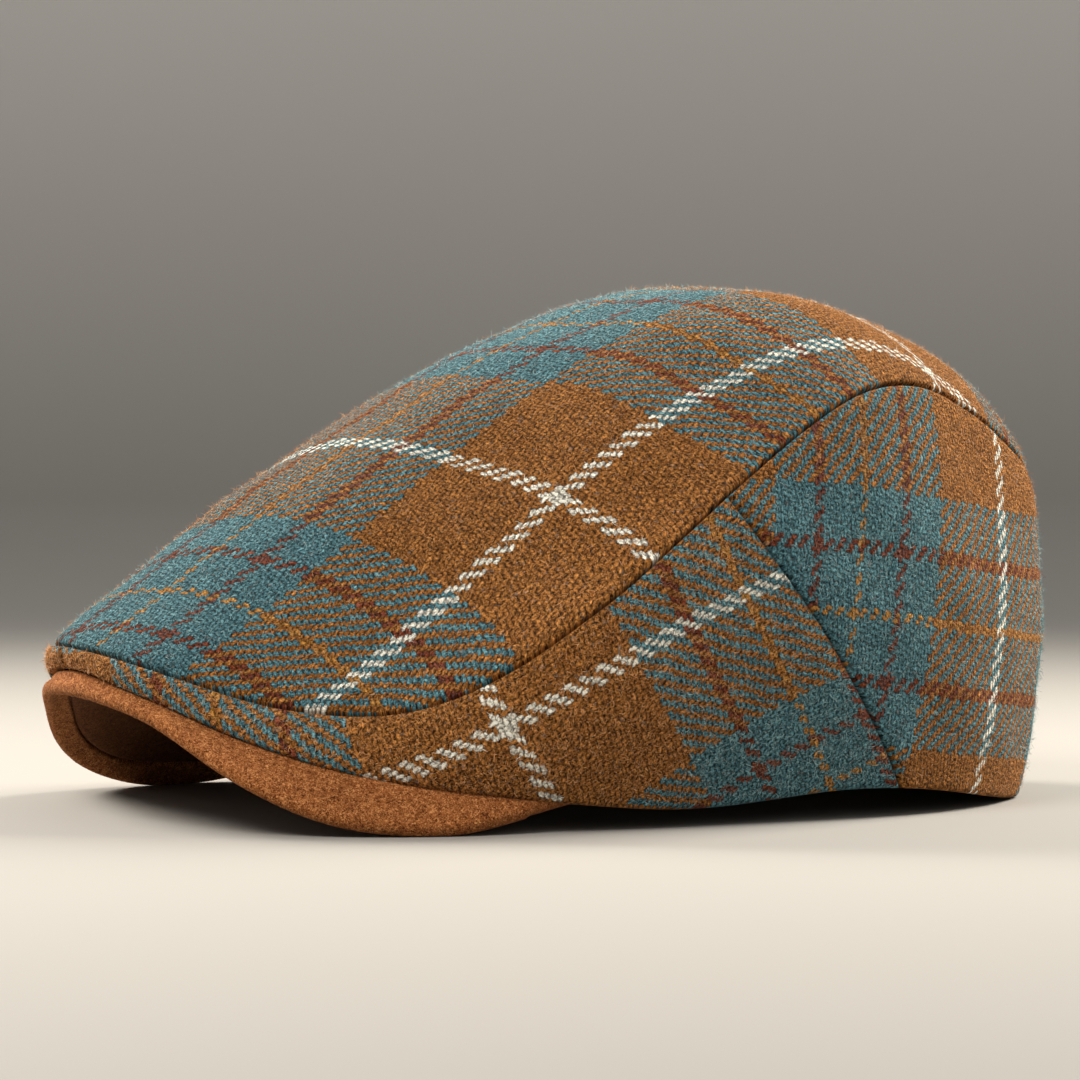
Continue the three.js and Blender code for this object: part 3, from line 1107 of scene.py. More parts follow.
# ---- Loose fibres ----------------------------------------------------------------------------
@dataclass(frozen=True)
class Fuzz:
    """Loose fibres that stand off a surface, as thin bent ribbons in one mesh."""

    count: int
    length: tuple[float, float]
    lift: tuple[float, float]
    thick: float
    seed: int

    JOINTS = 3
    ROOT_DEPTH = 0.06 * MM
    SHORTEST_SHARE = 0.5
    LIFT_POWER = 2.2
    SIDE_BEND = 0.8
    DROOP = (0.2, 0.9)
    TAPER = 0.7

    def grow(self, name: str, points: Array, marks: Array, outward: float = 1.0) -> Any:
        """Grow the fibres on a grid of surface points.

        Args:
            name: The new piece's name.
            points: The surface's points, with two grid axes first.
            marks: Two numbers at each point, kept at each fibre's root as its "Cloth" UV map.
            outward: -1 where the grid's rows and columns turn right, seen from outside.

        Returns:
            The new object.
        """
        random = np.random.default_rng(self.seed)
        down = points[1:, :-1] - points[:-1, :-1]
        along = points[:-1, 1:] - points[:-1, :-1]
        square = np.cross(along, down)
        area = np.linalg.norm(square, axis=-1)
        chosen = random.choice(area.size, self.count, p=area.ravel() / area.sum())
        row, column = np.unravel_index(chosen, area.shape)
        first, second = random.random((2, self.count, 1))

        def spot(grid: Array) -> Array:
            """Read a grid at the chosen places inside its cells.

            Args:
                grid: Values at the grid's points.

            Returns:
                Values at the fibres' roots.
            """
            low = lerp(grid[row, column], grid[row, column + 1], first)
            high = lerp(grid[row + 1, column], grid[row + 1, column + 1], first)
            return lerp(low, high, second)

        normal = unit(square[row, column]) * outward
        way = random.normal(size=(self.count, 3))
        way = unit(way - (way * normal).sum(-1, keepdims=True) * normal)
        sideways = np.cross(normal, way)
        each = (self.count, 1)
        length = random.uniform(*self.length, each)
        length = length * random.uniform(self.SHORTEST_SHARE, 1, each)
        lift = random.uniform(*self.lift, each) ** self.LIFT_POWER
        length = length / np.sqrt(1 + lift)
        bend = random.normal(0, self.SIDE_BEND, each)
        droop = random.uniform(*self.DROOP, each)
        flat_way = random.uniform(0, np.pi, each)
        ribbon = sideways * np.cos(flat_way) + normal * np.sin(flat_way)
        root, spine = spot(points) - normal * self.ROOT_DEPTH, []
        for share in np.linspace(0, 1, self.JOINTS):
            rise = lift * share * (1 - droop * share / 2)
            middle = root + length * (way * share + sideways * bend * share**2 + normal * rise)
            half = ribbon * self.thick * (1 - self.TAPER * share) / 2
            spine += [middle - half, middle + half]
        vertices = clear_floor(np.stack(spine, 1))
        start = np.arange(self.count)[:, None, None] * 2 * self.JOINTS
        step = np.arange(self.JOINTS - 1)[None, :, None] * 2
        faces = (start + step + np.array([0, 1, 3, 2])[None, None, :]).reshape(-1, 4)
        cloth = np.repeat(spot(marks), 2 * self.JOINTS, axis=0)
        return build_piece(name, vertices, faces.tolist(), cloth)


# ---- Node graphs -----------------------------------------------------------------------------
Number = Union[float, "Value"]


class Value:
    """A number that varies over a surface. Arithmetic on it adds Math nodes."""

    def __init__(self, tree: bpy.types.NodeTree, socket: bpy.types.NodeSocket) -> None:
        """Wrap a socket that gives a number."""
        self.tree = tree
        self.socket = socket

    def math(self, operation: str, *others: Number) -> "Value":
        """Add a Math node that takes this value first."""
        return self.combine(operation, self, *others)

    def combine(self, operation: str, *terms: Number) -> "Value":
        """Add a Math node on any terms.

        Args:
            operation: The node's operation.
            terms: Its inputs in order, each a number or a Value.

        Returns:
            The node's result.
        """
        node = self.tree.nodes.new("ShaderNodeMath")
        node.operation = operation
        for socket, term in zip(node.inputs, terms):
            if isinstance(term, Value):
                self.tree.links.new(term.socket, socket)
            else:
                socket.default_value = term
        return Value(self.tree, node.outputs[0])

    def __add__(self, other: Number) -> "Value":
        """Add."""
        return self.math("ADD", other)

    def __radd__(self, other: Number) -> "Value":
        """Add to a plain number."""
        return self.combine("ADD", other, self)

    def __sub__(self, other: Number) -> "Value":
        """Take away."""
        return self.math("SUBTRACT", other)

    def __rsub__(self, other: Number) -> "Value":
        """Take from a plain number."""
        return self.combine("SUBTRACT", other, self)

    def __mul__(self, other: Number) -> "Value":
        """Multiply."""
        return self.math("MULTIPLY", other)

    def __rmul__(self, other: Number) -> "Value":
        """Multiply a plain number."""
        return self.combine("MULTIPLY", other, self)

    def __truediv__(self, other: Number) -> "Value":
        """Divide."""
        return self.math("DIVIDE", other)

    def __pow__(self, other: Number) -> "Value":
        """Raise to a power."""
        return self.math("POWER", other)

    def __mod__(self, other: Number) -> "Value":
        """Take what is left over, never below zero."""
        return self.math("FLOORED_MODULO", other)

    def floor(self) -> "Value":
        """Round down."""
        return self.math("FLOOR")

    def above(self, edge: Number) -> "Value":
        """Give 1 where this is over the edge, and 0 elsewhere."""
        return self.math("GREATER_THAN", edge)

    def least(self, other: Number) -> "Value":
        """Give the smaller of two."""
        return self.math("MINIMUM", other)

    def most(self, other: Number) -> "Value":
        """Give the larger of two."""
        return self.math("MAXIMUM", other)

    def between(self, low: float, high: float) -> "Value":
        """Rise from 0 at low to 1 at high, and stay within them."""
        return ((self - low) * (1 / (high - low))).most(0.0).least(1.0)

    def towards(self, other: Number, share: Number) -> "Value":
        """Move a share of the way to another value."""
        return self + (other - self) * share


Colour = tuple[float, float, float]


def linear(red: int, green: int, blue: int) -> Colour:
    """Turn a screen colour, 0 to 255, into linear light.

    Args:
        red: Red, from 0 to 255.
        green: Green, from 0 to 255.
        blue: Blue, from 0 to 255.

    Returns:
        The colour in linear light, from 0 to 1.
    """
    parts = []
    for part in (red, green, blue):
        share = part / 255
        parts.append(share / 12.92 if share <= 0.04045 else ((share + 0.055) / 1.055) ** 2.4)
    return parts[0], parts[1], parts[2]


class Graph:
    """A material's node graph, with its shader and output in place."""

    def __init__(self, name: str) -> None:
        """Make a new material with nothing in it but the shader.

        Args:
            name: The material's name.
        """
        self.material = bpy.data.materials.new(name)
        self.material.use_nodes = True
        self.tree = self.material.node_tree
        self.tree.nodes.clear()
        self.shader = self.node("ShaderNodeBsdfPrincipled")
        output = self.node("ShaderNodeOutputMaterial")
        self.tree.links.new(self.shader.outputs[0], output.inputs[0])

    def node(
        self,
        kind: str,
        settings: dict[str, Any] | None = None,
        inputs: dict[str | int, Any] | None = None,
    ) -> bpy.types.Node:
        """Add a node: its settings first, then its inputs.

        Args:
            kind: The node's type name.
            settings: Properties of the node.
            inputs: Input sockets by name or number, each a Value, a socket or a constant.

        Returns:
            The node.
        """
        node = self.tree.nodes.new(kind)
        for key, value in (settings or {}).items():
            setattr(node, key, value)
        for key, value in (inputs or {}).items():
            socket = node.inputs[key]
            if isinstance(value, Value):
                self.tree.links.new(value.socket, socket)
            elif isinstance(value, bpy.types.NodeSocket):
                self.tree.links.new(value, socket)
            else:
                socket.default_value = value
        return node

    def cloth(self) -> bpy.types.NodeSocket:
        """Give the "Cloth" UV map: yarn counts across the warp and the weft."""
        return self.node("ShaderNodeUVMap", {"uv_map": "Cloth"}).outputs[0]

    def value(self, socket: bpy.types.NodeSocket) -> Value:
        """Wrap a socket for arithmetic."""
        return Value(self.tree, socket)

    def place(self, x: Number, y: Number, z: Number = 0.0) -> bpy.types.NodeSocket:
        """Join three numbers into a vector."""
        return self.node("ShaderNodeCombineXYZ", None, {0: x, 1: y, 2: z}).outputs[0]

    def parts(self, vector: bpy.types.NodeSocket) -> tuple[Value, Value, Value]:
        """Split a vector into its three numbers."""
        split = self.node("ShaderNodeSeparateXYZ", None, {0: vector})
        return tuple(self.value(socket) for socket in split.outputs)

    def noise_node(
        self, where: Any, scale: float, detail: float, rough: float, curl: float = 0.0
    ) -> bpy.types.Node:
        """Add a noise texture; curl draws it out into little hooks and curls.

        Args:
            where: A vector socket.
            scale: How often the noise repeats in one unit.
            detail: How many finer noises are added.
            rough: How strong the finer noises are.
            curl: How far the noise is pushed about by itself.

        Returns:
            The node.
        """
        values = {"Vector": where, "Scale": scale, "Detail": detail, "Roughness": rough}
        values["Distortion"] = curl
        return self.node("ShaderNodeTexNoise", {"noise_dimensions": "3D"}, values)

    def noise(
        self, where: Any, scale: float, detail: float = 2.0, rough: float = 0.5, curl: float = 0.0
    ) -> Value:
        """Give smooth noise, mostly from 0.25 to 0.75."""
        return self.value(self.noise_node(where, scale, detail, rough, curl).outputs[0])

    def sway(self, where: Any, scale: float, reach: float) -> tuple[Value, Value]:
        """Give two unlike noises round zero, for pushing coordinates about."""
        split = self.parts(self.noise_node(where, scale, 1.0, 0.5).outputs[1])
        return (split[0] - 0.5) * (2 * reach), (split[1] - 0.5) * (2 * reach)

    def dice(self, where: Any) -> Value:
        """Give an unrelated number from 0 to 1 at each whole place."""
        node = self.node("ShaderNodeTexWhiteNoise", {"noise_dimensions": "3D"}, {"Vector": where})
        return self.value(node.outputs[0])

    def mix(self, share: Number, first: Any, second: Any, blend: str = "MIX") -> Any:
        """Mix two colours, each a socket or a linear colour.

        Args:
            share: The second colour's share, from 0 to 1.
            first: The first colour.
            second: The second colour.
            blend: The Mix node's blend type.

        Returns:
            A colour socket.
        """
        ends = [(*end, 1.0) if isinstance(end, tuple) else end for end in (first, second)]
        settings = {"data_type": "RGBA", "blend_type": blend, "clamp_result": False}
        return self.node("ShaderNodeMix", settings, {0: share, 6: ends[0], 7: ends[1]}).outputs[2]

    def shade(self, colour: Any, amount: Value) -> Any:
        """Multiply a colour by a grey amount."""
        return self.mix(1.0, colour, self.place(amount, amount, amount), "MULTIPLY")

    def bands(self, share: Value, stops: Sequence[tuple[float, Colour]], soft: bool) -> Any:
        """Turn a share from 0 to 1 into colour, in steps or smoothly.

        Args:
            share: The value to look up.
            stops: Where each colour starts, with the colour.
            soft: Whether the colours run into each other.

        Returns:
            A colour socket.
        """
        node = self.node("ShaderNodeValToRGB", None, {0: share})
        ramp = node.color_ramp
        ramp.interpolation = "EASE" if soft else "CONSTANT"
        while len(ramp.elements) < len(stops):
            ramp.elements.new(1.0)
        for element, (start, colour) in zip(ramp.elements, stops):
            element.position = start
            element.color = (*colour, 1.0)
        return node.outputs[0]

    def bump(self, height: Value, distance: float) -> bpy.types.NodeSocket:
        """Turn a height from 0 to 1 into a normal; distance is the height of 1."""
        inputs = {"Height": height, "Distance": distance, "Strength": 1.0}
        return self.node("ShaderNodeBump", None, inputs).outputs[0]

    def finish(self, constants: dict[str, Any], varying: dict[str, Any]) -> bpy.types.Material:
        """Set and link the shader's inputs, and give the material.

        Args:
            constants: Values for the shader's own sockets.
            varying: Sockets or values to link to the shader's sockets.

        Returns:
            The finished material.
        """
        for key, value in constants.items():
            self.shader.inputs[key].default_value = value
        for key, value in varying.items():
            socket = value.socket if isinstance(value, Value) else value
            self.tree.links.new(socket, self.shader.inputs[key])
        return self.material


# ---- Finishes --------------------------------------------------------------------------------
@dataclass(frozen=True)
class YarnColour:
    """A heather-dyed yarn: its own colour, and the paler and darker fibres spun into it."""

    body: Colour
    pale: Colour
    dark: Colour


class Yarn(Enum):
    """The yarns of the plaid."""

    WHITE = YarnColour(linear(234, 229, 214), linear(255, 252, 242), linear(200, 193, 175))
    BROWN = YarnColour(linear(134, 78, 29), linear(216, 150, 80), linear(60, 29, 9))
    TEAL = YarnColour(linear(44, 101, 118), linear(138, 186, 192), linear(10, 31, 44))
    RUST = YarnColour(linear(106, 42, 24), linear(164, 86, 50), linear(40, 14, 10))
    ORANGE = YarnColour(linear(178, 112, 34), linear(226, 170, 88), linear(92, 50, 14))


# Half of the plaid's repeat, counted out from the middle of the white stripe. Warp and weft agree.
SETT = (
    (Yarn.WHITE, 2),
    (Yarn.BROWN, 28),
    (Yarn.TEAL, 12),
    (Yarn.RUST, 3),
    (Yarn.TEAL, 12),
    (Yarn.ORANGE, 1),
)
HALF_REPEAT = sum(count for _, count in SETT)


@dataclass(frozen=True)
class Twill:
    """Where a point lies in the two-and-two twill, and which yarn is on top there.

    warp is 1 where a warp yarn is on top, and phase counts how far along its float the point is.
    """

    column: Value
    row: Value
    phase: Value
    warp: Value

    @classmethod
    def at(cls, u: Value, v: Value) -> "Twill":
        """Find the place for yarn counts across the warp and the weft.

        Args:
            u: Yarn count across the warp.
            v: Yarn count across the weft.

        Returns:
            The place in the weave.
        """
        column, row = u.floor(), v.floor()
        phase = (column - row) % 4.0
        return cls(column, row, phase, 1.0 - phase.above(1.5))

    def yarn(self) -> Value:
        """Give the number of the yarn on top."""
        return self.row.towards(self.column, self.warp)

    def share(self) -> Value:
        """Give that yarn's place in the plaid, as a share of the half repeat."""
        return (self.yarn() + 0.5).math("PINGPONG", float(HALF_REPEAT)) / HALF_REPEAT


@dataclass(frozen=True)
class Tweed:
    """Milled wool tweed in a two-and-two twill, coloured by the plaid's warp and weft, with painted
    shade in the gaps between its floats.

    Each float is an oval of half_width by half_float yarns that leans by slant. wander and ragged
    are noises, each a scale and a reach in yarns: wander bends the yarns, and ragged frays only
    their edges. strand_layers are the loose strands' directions in degrees, each with a seed.
    """

    relief: float = 0.4 * MM
    half_width: float = 0.56
    half_float: float = 1.12
    slant: float = 0.16
    wander: tuple[tuple[float, float], ...] = ((0.16, 0.9), (1.1, 0.42))
    ragged: tuple[float, float] = (4.5, 0.32)
    strand_layers: tuple[tuple[float, float], ...] = (
        (24.0, 3.0),
        (78.0, 11.0),
        (-38.0, 19.0),
        (-76.0, 27.0),
    )

    def sett(self, graph: Graph, count: Value, shade: str, fine: bool = True) -> Any:
        """Look one of the yarn's three colours up in the plaid.

        Args:
            graph: The material's graph.
            count: A share from 0 to 1 of the half repeat.
            shade: Which of the yarn's colours: body, pale or dark.
            fine: Whether the fine lines are there; the ground runs on under them if not.

        Returns:
            A colour socket.
        """
        stops, start = [], 0
        for yarn, width in SETT:
            if fine or yarn not in (Yarn.RUST, Yarn.ORANGE):
                stops.append((start / HALF_REPEAT, getattr(yarn.value, shade)))
            start += width
        return graph.bands(count, stops, soft=False)

    def dyed(
        self,
        graph: Graph,
        cloth: Any,
        twill: Twill,
        own: Value,
        fibres: tuple[Value, Value, Value],
    ) -> Any:
        """Colour the yarns, with paler and darker fibres in them and felted edges.

        Args:
            graph: The material's graph.
            cloth: The "Cloth" UV map.
            twill: The place in the weave.
            own: The yarn's own number from 0 to 1.
            fibres: The yarn's fibres, the loose strands and the grain of the felt.

        Returns:
            A colour socket.
        """
        fibre, strands, grain = fibres
        count = twill.share()
        felted = (graph.noise(cloth, 0.5, 1.0) + 0.22 * twill.warp).between(0.38, 0.9) * 0.6
        bands = [self.sett(graph, count, "body", fine) for fine in (True, False)]
        blotch = graph.noise(cloth, 0.16, 2.0).between(0.5, 0.25)
        dark = (1.0 - grain) * 0.75 + blotch * 0.15
        pale = fibre.between(0.5, 0.78) * 0.35 + strands * 0.5 + own * 0.1 + grain * 0.2
        colour = graph.mix(felted, *bands)
        colour = graph.mix(dark.least(1.0), colour, self.sett(graph, count, "dark"))
        return graph.mix(pale.least(1.0), colour, self.sett(graph, count, "pale"))

    def strands(self, graph: Graph, u: Value, v: Value, angle: float, seed: float) -> Value:
        """Lay thin raised fibres over the cloth, all near one direction.

        Args:
            graph: The material's graph.
            u: Yarn count across the warp.
            v: Yarn count across the weft.
            angle: The fibres' direction from u, in degrees.
            seed: Keeps this layer unlike the others.

        Returns:
            1 along the fibres and 0 between them.
        """
        cosine, sine = math.cos(math.radians(angle)), math.sin(math.radians(angle))
        along, across = u * cosine + v * sine, v * cosine - u * sine
        bent = across + 0.5 * graph.noise(graph.place(along, across, seed), 0.7, 0.0)
        streak = graph.noise(graph.place(along * 0.55, bent * 4.2, seed), 1.0, 1.0)
        return streak.between(0.56, 0.74)

    def material(self, name: str) -> bpy.types.Material:
        """Build the finish.

        Args:
            name: The material's name.

        Returns:
            The new material.
        """
        graph = Graph(name)
        cloth = graph.cloth()
        u, v, _ = graph.parts(cloth)
        for scale, reach in self.wander:
            sway_u, sway_v = graph.sway(cloth, scale, reach)
            u, v = u + sway_u, v + sway_v
        ragged_u, ragged_v = graph.sway(cloth, *self.ragged)
        rough_u, rough_v = u + ragged_u, v + ragged_v
        twill = Twill.at(rough_u, rough_v)
        inside_u, inside_v = rough_u - twill.column, rough_v - twill.row
        warp_along, weft_along = inside_v - twill.phase, inside_u + twill.phase - 3.0
        along = weft_along.towards(warp_along, twill.warp)
        across = (inside_v - 0.5).towards(inside_u - 0.5, twill.warp) + along * self.slant
        oval = 1.0 - (across / self.half_width) ** 2.0 - (along / self.half_float) ** 2.0
        height = oval.most(0.0) ** 0.5

        seed = twill.yarn() + twill.warp * 500.0
        own = graph.dice(graph.place(seed, (twill.row + twill.column) * 0.25, 2.0))
        lengthways = v.towards(u, twill.warp)
        fibre = graph.noise(graph.place(lengthways * 1.6, across * 7.0, seed), 1.0, 2.0)
        strands = self.strands(graph, u, v, *self.strand_layers[0])
        for angle, layer in self.strand_layers[1:]:
            strands = strands.most(self.strands(graph, u, v, angle, layer))
        grain = graph.noise(cloth, 2.3, 1.0, 0.6, 1.2).between(0.38, 0.62)

        colour = self.dyed(graph, cloth, twill, own, (fibre, strands, grain))
        fleck = graph.dice(graph.place((u * 1.4).floor(), (v * 1.4).floor(), seed)).above(0.93)
        colour = graph.mix(fleck * 0.3, colour, self.sett(graph, 0.1 + 0.88 * own, "body"))
        clump = graph.noise(cloth, 1.6, 0.0, 0.5, 0.8).between(0.34, 0.66)
        # Painted shade: the base colour is darkened in the low gaps between the floats, where shade
        # falls, and less on the raised strands.
        painted_gap_shade = (0.14 + 0.94 * height**0.8 + strands * 0.22).least(1.2)
        colour = graph.shade(colour, painted_gap_shade * (0.88 + 0.2 * own) * (0.5 + 0.86 * clump))

        rise = height * 0.6 + fibre * 0.2 + strands * 0.34 + grain * 0.5
        varying = {
            "Base Color": colour,
            "Roughness": (0.95 - strands * 0.25).least(1.0),
            "Normal": graph.bump(rise, self.relief),
        }
        constants = {
            "Specular IOR Level": 0.06,
            "Sheen Weight": 0.035,
            "Sheen Roughness": 0.45,
            "Sheen Tint": (1.0, 0.88, 0.74, 1.0),
        }
        return graph.finish(constants, varying)


@dataclass(frozen=True)
class WoolHair:
    """Loose wool fibres in the colour of the yarn that they come from, brightened and mixed towards
    a pale cream: partly paler fibre ends, partly painted highlight for the sheen that they catch.
    """

    tweed: Tweed = Tweed()
    pale_tip_and_sheen: Colour = linear(248, 226, 192)
    pale_tip_and_sheen_share: float = 0.2

    def material(self, name: str) -> bpy.types.Material:
        """Build the finish.

        Args:
            name: The material's name.

        Returns:
            The new material.
        """
        graph = Graph(name)
        u, v, _ = graph.parts(graph.cloth())
        count = Twill.at(u, v).share()
        own = graph.dice(graph.place(u * 40.0, v * 40.0, 1.0))
        pale = self.tweed.sett(graph, count, "pale")
        body = self.tweed.sett(graph, count, "body")
        colour = graph.mix(0.3 + 0.7 * own, body, pale)
        # Painted highlight, in part: each fibre is brightened past its yarn's colour and mixed
        # towards pale cream, for the light that loose fibres catch at grazing angles; the cream
        # also stands for paler fibre ends.
        colour = graph.mix(self.pale_tip_and_sheen_share, graph.shade(colour, 1.1 + 0.4 * own), self.pale_tip_and_sheen)
        constants = {"Specular IOR Level": 0.3}
        return graph.finish(constants, {"Base Color": colour, "Roughness": 0.5 + 0.3 * own})


@dataclass(frozen=True)
class Suede:
    """Brushed suede: a short nap that lies this way and that, over a soft mottle."""

    body: Colour
    pale: Colour
    dark: Colour
    nap: float = 0.16 * MM

    def material(self, name: str) -> bpy.types.Material:
        """Build the finish.

        Args:
            name: The material's name.

        Returns:
            The new material.
        """
        graph = Graph(name)
        place = graph.node("ShaderNodeTexCoord").outputs["Object"]
        broad = graph.noise(place, 60.0, 3.0)
        mottle = graph.noise(place, 520.0, 2.0, 0.6)
        nap = graph.noise(place, 1500.0, 2.0, 0.6, 1.6)
        pits = graph.noise(place, 1900.0, 1.0).between(0.42, 0.3)
        stops = [(0.0, self.dark), (0.5, self.body), (1.0, self.pale)]
        colour = graph.bands((mottle * 0.2 + nap * 0.8).between(0.36, 0.64), stops, soft=True)
        colour = graph.shade(colour, (0.8 + 0.4 * broad) * (1.0 - 0.3 * pits))
        varying = {
            "Base Color": colour,
            "Roughness": 0.86 + 0.1 * nap,
            "Normal": graph.bump(mottle * 0.2 + nap * 0.8 - pits * 0.3, self.nap * 2.4),
        }
        constants = {
            "Specular IOR Level": 0.06,
            "Sheen Weight": 0.04,
            "Sheen Roughness": 0.4,
            "Sheen Tint": (1.0, 0.72, 0.5, 1.0),
        }
        return graph.finish(constants, varying)


@dataclass(frozen=True)
class SuedeHair:
    """The loose ends of the suede's nap."""

    body: Colour
    pale: Colour

    def material(self, name: str) -> bpy.types.Material:
        """Build the finish.

        Args:
            name: The material's name.

        Returns:
            The new material.
        """
        graph = Graph(name)
        own = graph.dice(graph.cloth())
        constants = {"Specular IOR Level": 0.2, "Sheen Weight": 0.3, "Roughness": 0.8}
        return graph.finish(constants, {"Base Color": graph.mix(own, self.body, self.pale)})


@dataclass(frozen=True)
class PaintedCove:
    """The matt pale paint of the studio floor and wall."""

    floor: Colour = linear(154, 151, 146)
    wall: Colour = linear(236, 232, 226)

    def material(self, name: str) -> bpy.types.Material:
        """Build the finish.

        Args:
            name: The material's name.

        Returns:
            The new material.
        """
        graph = Graph(name)
        place = graph.node("ShaderNodeTexCoord").outputs["Object"]
        mottle = graph.noise(place, 3.0, 4.0)
        rise = graph.parts(place)[2].between(0.0, 0.5)
        colour = graph.shade(graph.mix(rise, self.floor, self.wall), 0.985 + 0.03 * mottle)
        constants = {"Specular IOR Level": 0.25, "Roughness": 0.7}
        return graph.finish(constants, {"Base Color": colour})


# ---- The studio ------------------------------------------------------------------------------
@dataclass(frozen=True)
class Cove:
    """A round floor that curves up into a low wall all round."""

    floor_radius: float = 2.6
    bend_radius: float = 1.2
    wall_height: float = 1.6
    hub_radius: float = 0.02
    around: int = 160
    flat_steps: int = 24
    bend_steps: int = 20

    def build(self) -> Any:
        """Make the cove as a turned profile.

        Returns:
            The new object.
        """
        flat = np.linspace(self.hub_radius, self.floor_radius, self.flat_steps)
        bend = np.radians(np.linspace(0, 90, self.bend_steps))[1:]
        radius = np.concatenate([flat, self.floor_radius + self.bend_radius * np.sin(bend)])
        height = np.concatenate([flat * 0, self.bend_radius * (1 - np.cos(bend))])
        radius = np.append(radius, radius[-1])
        height = np.append(height, self.wall_height)
        turn = np.linspace(0, 2 * np.pi, self.around, endpoint=False)[:, None]
        across, ahead = radius * np.cos(turn), radius * np.sin(turn)
        points = np.stack([across, ahead, height + 0 * turn], -1)
        number = np.arange(points.shape[0] * len(radius)).reshape(points.shape[:2])
        after = np.roll(number, -1, axis=0)
        quads = np.stack([number[:, :-1], number[:, 1:], after[:, 1:], after[:, :-1]], -1)
        faces = quads.reshape(-1, 4).tolist() + [number[:, 0].tolist()]
        return build_piece("studio_cove", points, faces, sharp=180.0)


@dataclass(frozen=True)
class SoftBox:
    """A square soft light. Its turn, elevation and spread are in degrees, the rest in metres."""

    name: str
    turn: float
    elevation: float
    distance: float
    size: float
    watts: float
    colour: tuple[float, float, float]
    spread: float = 180.0

    def build(self, target: Vector) -> None:
        """Make the light, aimed at the target.

        Args:
            target: The point that the light is aimed at.
        """
        light = bpy.data.lights.new(self.name, "AREA")
        light.size, light.energy, light.color = self.size, self.watts, self.colour
        light.spread = math.radians(self.spread)
        lamp = bpy.data.objects.new(self.name, light)
        back = facing(self.turn, self.elevation)
        lamp.location = target + back * self.distance
        lamp.rotation_euler = (-back).to_track_quat("-Z", "Y").to_euler()
        bpy.context.scene.collection.objects.link(lamp)


def facing(turn: float, elevation: float) -> Vector:
    """Give the direction back to an eye at a turn round the cap and an elevation, in degrees."""
    a, e = math.radians(turn), math.radians(elevation)
    return Vector((math.sin(a) * math.cos(e), -math.cos(a) * math.cos(e), math.sin(e)))


@dataclass(frozen=True)
class Studio:
    """The floor, the lights, the world and the camera."""

    SENSOR = 36.0
    CLIPPING = (0.05, 20.0)
    AIR = (1.0, 0.98, 0.95)
    WARM = (1.0, 0.93, 0.83)

    camera_turn: float = 66.83
    camera_elevation: float = 2.06
    camera_distance: float = 1.5
    target: tuple[float, float, float] = (0.00181, -0.00525, 0.06717)
    lens: float = 194.85
    world_strength: float = 0.46

    def lights(self) -> list[SoftBox]:
        """List the lights: a key, a weak fill, and two narrow warm ones from behind.

        Returns:
            The lights, not yet in the scene.
        """
        return [
            SoftBox("key", 30.0, 46.0, 1.1, 0.5, 9.0, (1.0, 0.96, 0.9)),
            SoftBox("fill", 100.0, 22.0, 1.4, 1.0, 1.2, self.AIR),
            SoftBox("rim_front", -62.0, 30.0, 1.1, 0.4, 5.3, self.WARM, spread=90.0),
            SoftBox("rim_back", -170.0, 34.0, 1.1, 0.5, 7.2, self.WARM, spread=90.0),
        ]

    def build(self) -> None:
        """Set the scene up."""
        scene = bpy.context.scene
        cove = Cove().build()
        cove.data.materials.append(PaintedCove().material("cove_paint"))
        world = bpy.data.worlds.new("studio_air")
        world.use_nodes = True
        background = world.node_tree.nodes["Background"]
        background.inputs["Color"].default_value = (*self.AIR, 1.0)
        background.inputs["Strength"].default_value = self.world_strength
        scene.world = world
        target = Vector(self.target)
        for light in self.lights():
            light.build(target)
        lens = bpy.data.cameras.new("camera")
        lens.lens, lens.sensor_width = self.lens, self.SENSOR
        lens.clip_start, lens.clip_end = self.CLIPPING
        camera = bpy.data.objects.new("camera", lens)
        back = facing(self.camera_turn, self.camera_elevation)
        camera.location = target + back * self.camera_distance
        camera.rotation_euler = (-back).to_track_quat("-Z", "Y").to_euler()
        scene.collection.objects.link(camera)
        scene.camera = camera
        scene.view_settings.view_transform = "Standard"
        scene.view_settings.look = "None"
        scene.view_settings.exposure = 0.0


# ---- The cap ---------------------------------------------------------------------------------
TOP_PLACEMENT = ClothPlacement(
    warp_lean=9.2,
    weft_lean=17.6,
    cross=(72.1 * MM, -70.1 * MM),
    ease=1.123,
    warp_bow=(-35.6 * MM, -13.6 * MM, 5.2 * MM, -3.5 * MM, -23.6 * MM, 0.8 * MM, -8.0 * MM),
    weft_bow=(44.8 * MM, -32.0 * MM, 3.9 * MM, 23.6 * MM, -23.0 * MM, 4.3 * MM, 11.4 * MM),
    bow_reach=200 * MM,
)
SIDE_PLACEMENT = ClothPlacement(
    warp_lean=-118.0,
    weft_lean=-113.7,
    cross=(9.2 * MM, -6.2 * MM),
    ease=1.124,
    warp_bow=(-6.0 * MM, -12.6 * MM, 26.2 * MM, -4.4 * MM, 30.5 * MM, -21.8 * MM, -4.3 * MM),
    weft_bow=(-12.5 * MM, -21.5 * MM, -21.7 * MM, -8.1 * MM, -19.8 * MM, -6.9 * MM, -20.8 * MM),
    bow_reach=200 * MM,
)
BACK_PLACEMENT = ClothPlacement(
    warp_lean=-24.9,
    weft_lean=-24.2,
    cross=(34.8 * MM, 45.2 * MM),
    ease=1.0,
    warp_bow=(-6 * MM, 41 * MM, 12 * MM),
    weft_bow=(-3 * MM, 17 * MM, 5 * MM),
)
SUEDE = Suede(linear(142, 84, 43), linear(200, 138, 86), linear(78, 39, 16))
# Painted shade: the underside panel is the cover's suede made darker, for the shade under the peak.
SHADED_UNDER_SUEDE = Suede(linear(92, 52, 26), linear(120, 74, 40), linear(56, 30, 14))


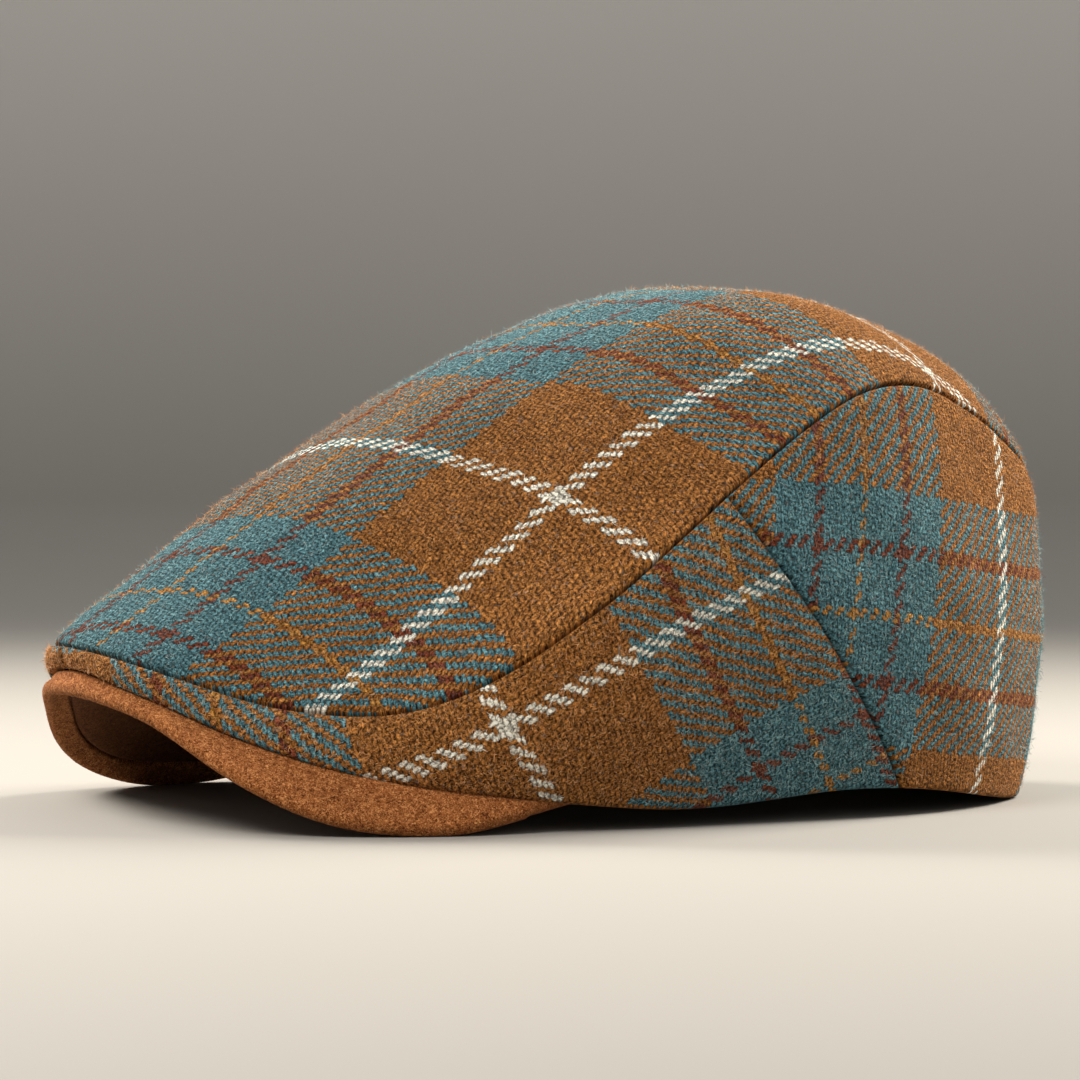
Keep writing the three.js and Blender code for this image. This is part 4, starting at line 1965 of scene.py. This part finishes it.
@dataclass
class FlatCap:
    """The whole cap: five panels of tweed, and the peak's two pieces of suede."""

    wool_length: tuple[float, float] = (0.7 * MM, 2.2 * MM)
    wool_lift: tuple[float, float] = (0.1, 1.5)
    wool_thick: float = 0.12 * MM
    nap: Fuzz = Fuzz(9000, (0.25 * MM, 0.7 * MM), (0.1, 1.2), 0.1 * MM, 21)
    roll_rows: int = 7

    def panels(self) -> list[tuple[ClothPanel, str, int]]:
        """List the cloth panels, each with its material slot and count of loose fibres.

        Returns:
            The panels, in the order in which they are built.
        """
        sides = [(side, side.name.lower()) for side in Side]
        top = TopPanel("top_panel_cloth", TOP_PLACEMENT)
        fine = {"columns": 220, "rows": 86}
        tall = {"columns": 120, "rows": 110, "across_degree": 7, "up_degree": 5}
        found: list[tuple[ClothPanel, str, int]] = [(top, "tweed_top", 36000)]
        for side, word in sides:
            made = SidePanel(f"side_panel_{word}_cloth", SIDE_PLACEMENT, side, **fine)
            found.append((made, "tweed_side", 16000))
        for side, word in sides:
            made = BackPanel(f"back_panel_{word}_cloth", BACK_PLACEMENT, side, **tall)
            found.append((made, "tweed_back", 12000))
        return found

    def attach(self, piece: Any, slot: str, finish: bpy.types.Material, *nodes: str) -> None:
        """Give a piece its finish and its place in the frame.

        Args:
            piece: The piece.
            slot: Its material slot; not used.
            finish: Its finish.
            nodes: The nodes that it stands for, if any.
        """
        piece.data.materials.append(finish)
        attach(piece, "root")
        if nodes:
            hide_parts(*nodes)
        triangles = sum(len(face.vertices) - 2 for face in piece.data.polygons)
        LOG.info("%s: %d triangles", piece.name, triangles)

    def build(self) -> None:
        """Make and dress every piece."""
        tweed = Tweed().material("plaid_tweed")
        wool = WoolHair().material("wool_fibres")
        shown = slice(self.roll_rows, -self.roll_rows)
        for seed, (panel, slot, fibres) in enumerate(self.panels(), 1):
            piece = panel.build()
            self.attach(piece, slot, tweed, panel.name.removesuffix("_cloth"))
            width, length, area = panel.flat_size()
            LOG.info("%s: flat %.0f x %.0f mm", piece.name, width / MM, length / MM)
            outer, _, counts = panel.shell()
            fuzz = Fuzz(fibres, self.wool_length, self.wool_lift, self.wool_thick, seed)
            grids = outer[shown, shown], counts[shown, shown]
            hairs = fuzz.grow(f"{piece.name}_fuzz", *grids, float(panel.side.value))
            self.attach(hairs, slot, wool)
        peak = PeakCover("peak_cover_suede")
        self.attach(peak.build(), "suede", SUEDE.material("suede"), "peak_cover")
        hairs = self.nap.grow("peak_cover_suede_nap", *peak.shown())
        self.attach(hairs, "suede", SuedeHair(SUEDE.body, SUEDE.pale).material("suede_nap"))
        under = PeakUnderside("peak_underside_suede").build()
        self.attach(under, "suede_under", SHADED_UNDER_SUEDE.material("under_suede_painted_shade"), "peak_underside")


def main() -> None:
    """Build the studio and the cap."""
    logging.basicConfig(level=logging.INFO, format="%(message)s")
    Studio().build()
    FlatCap().build()


if __name__ == "__main__":
    main()
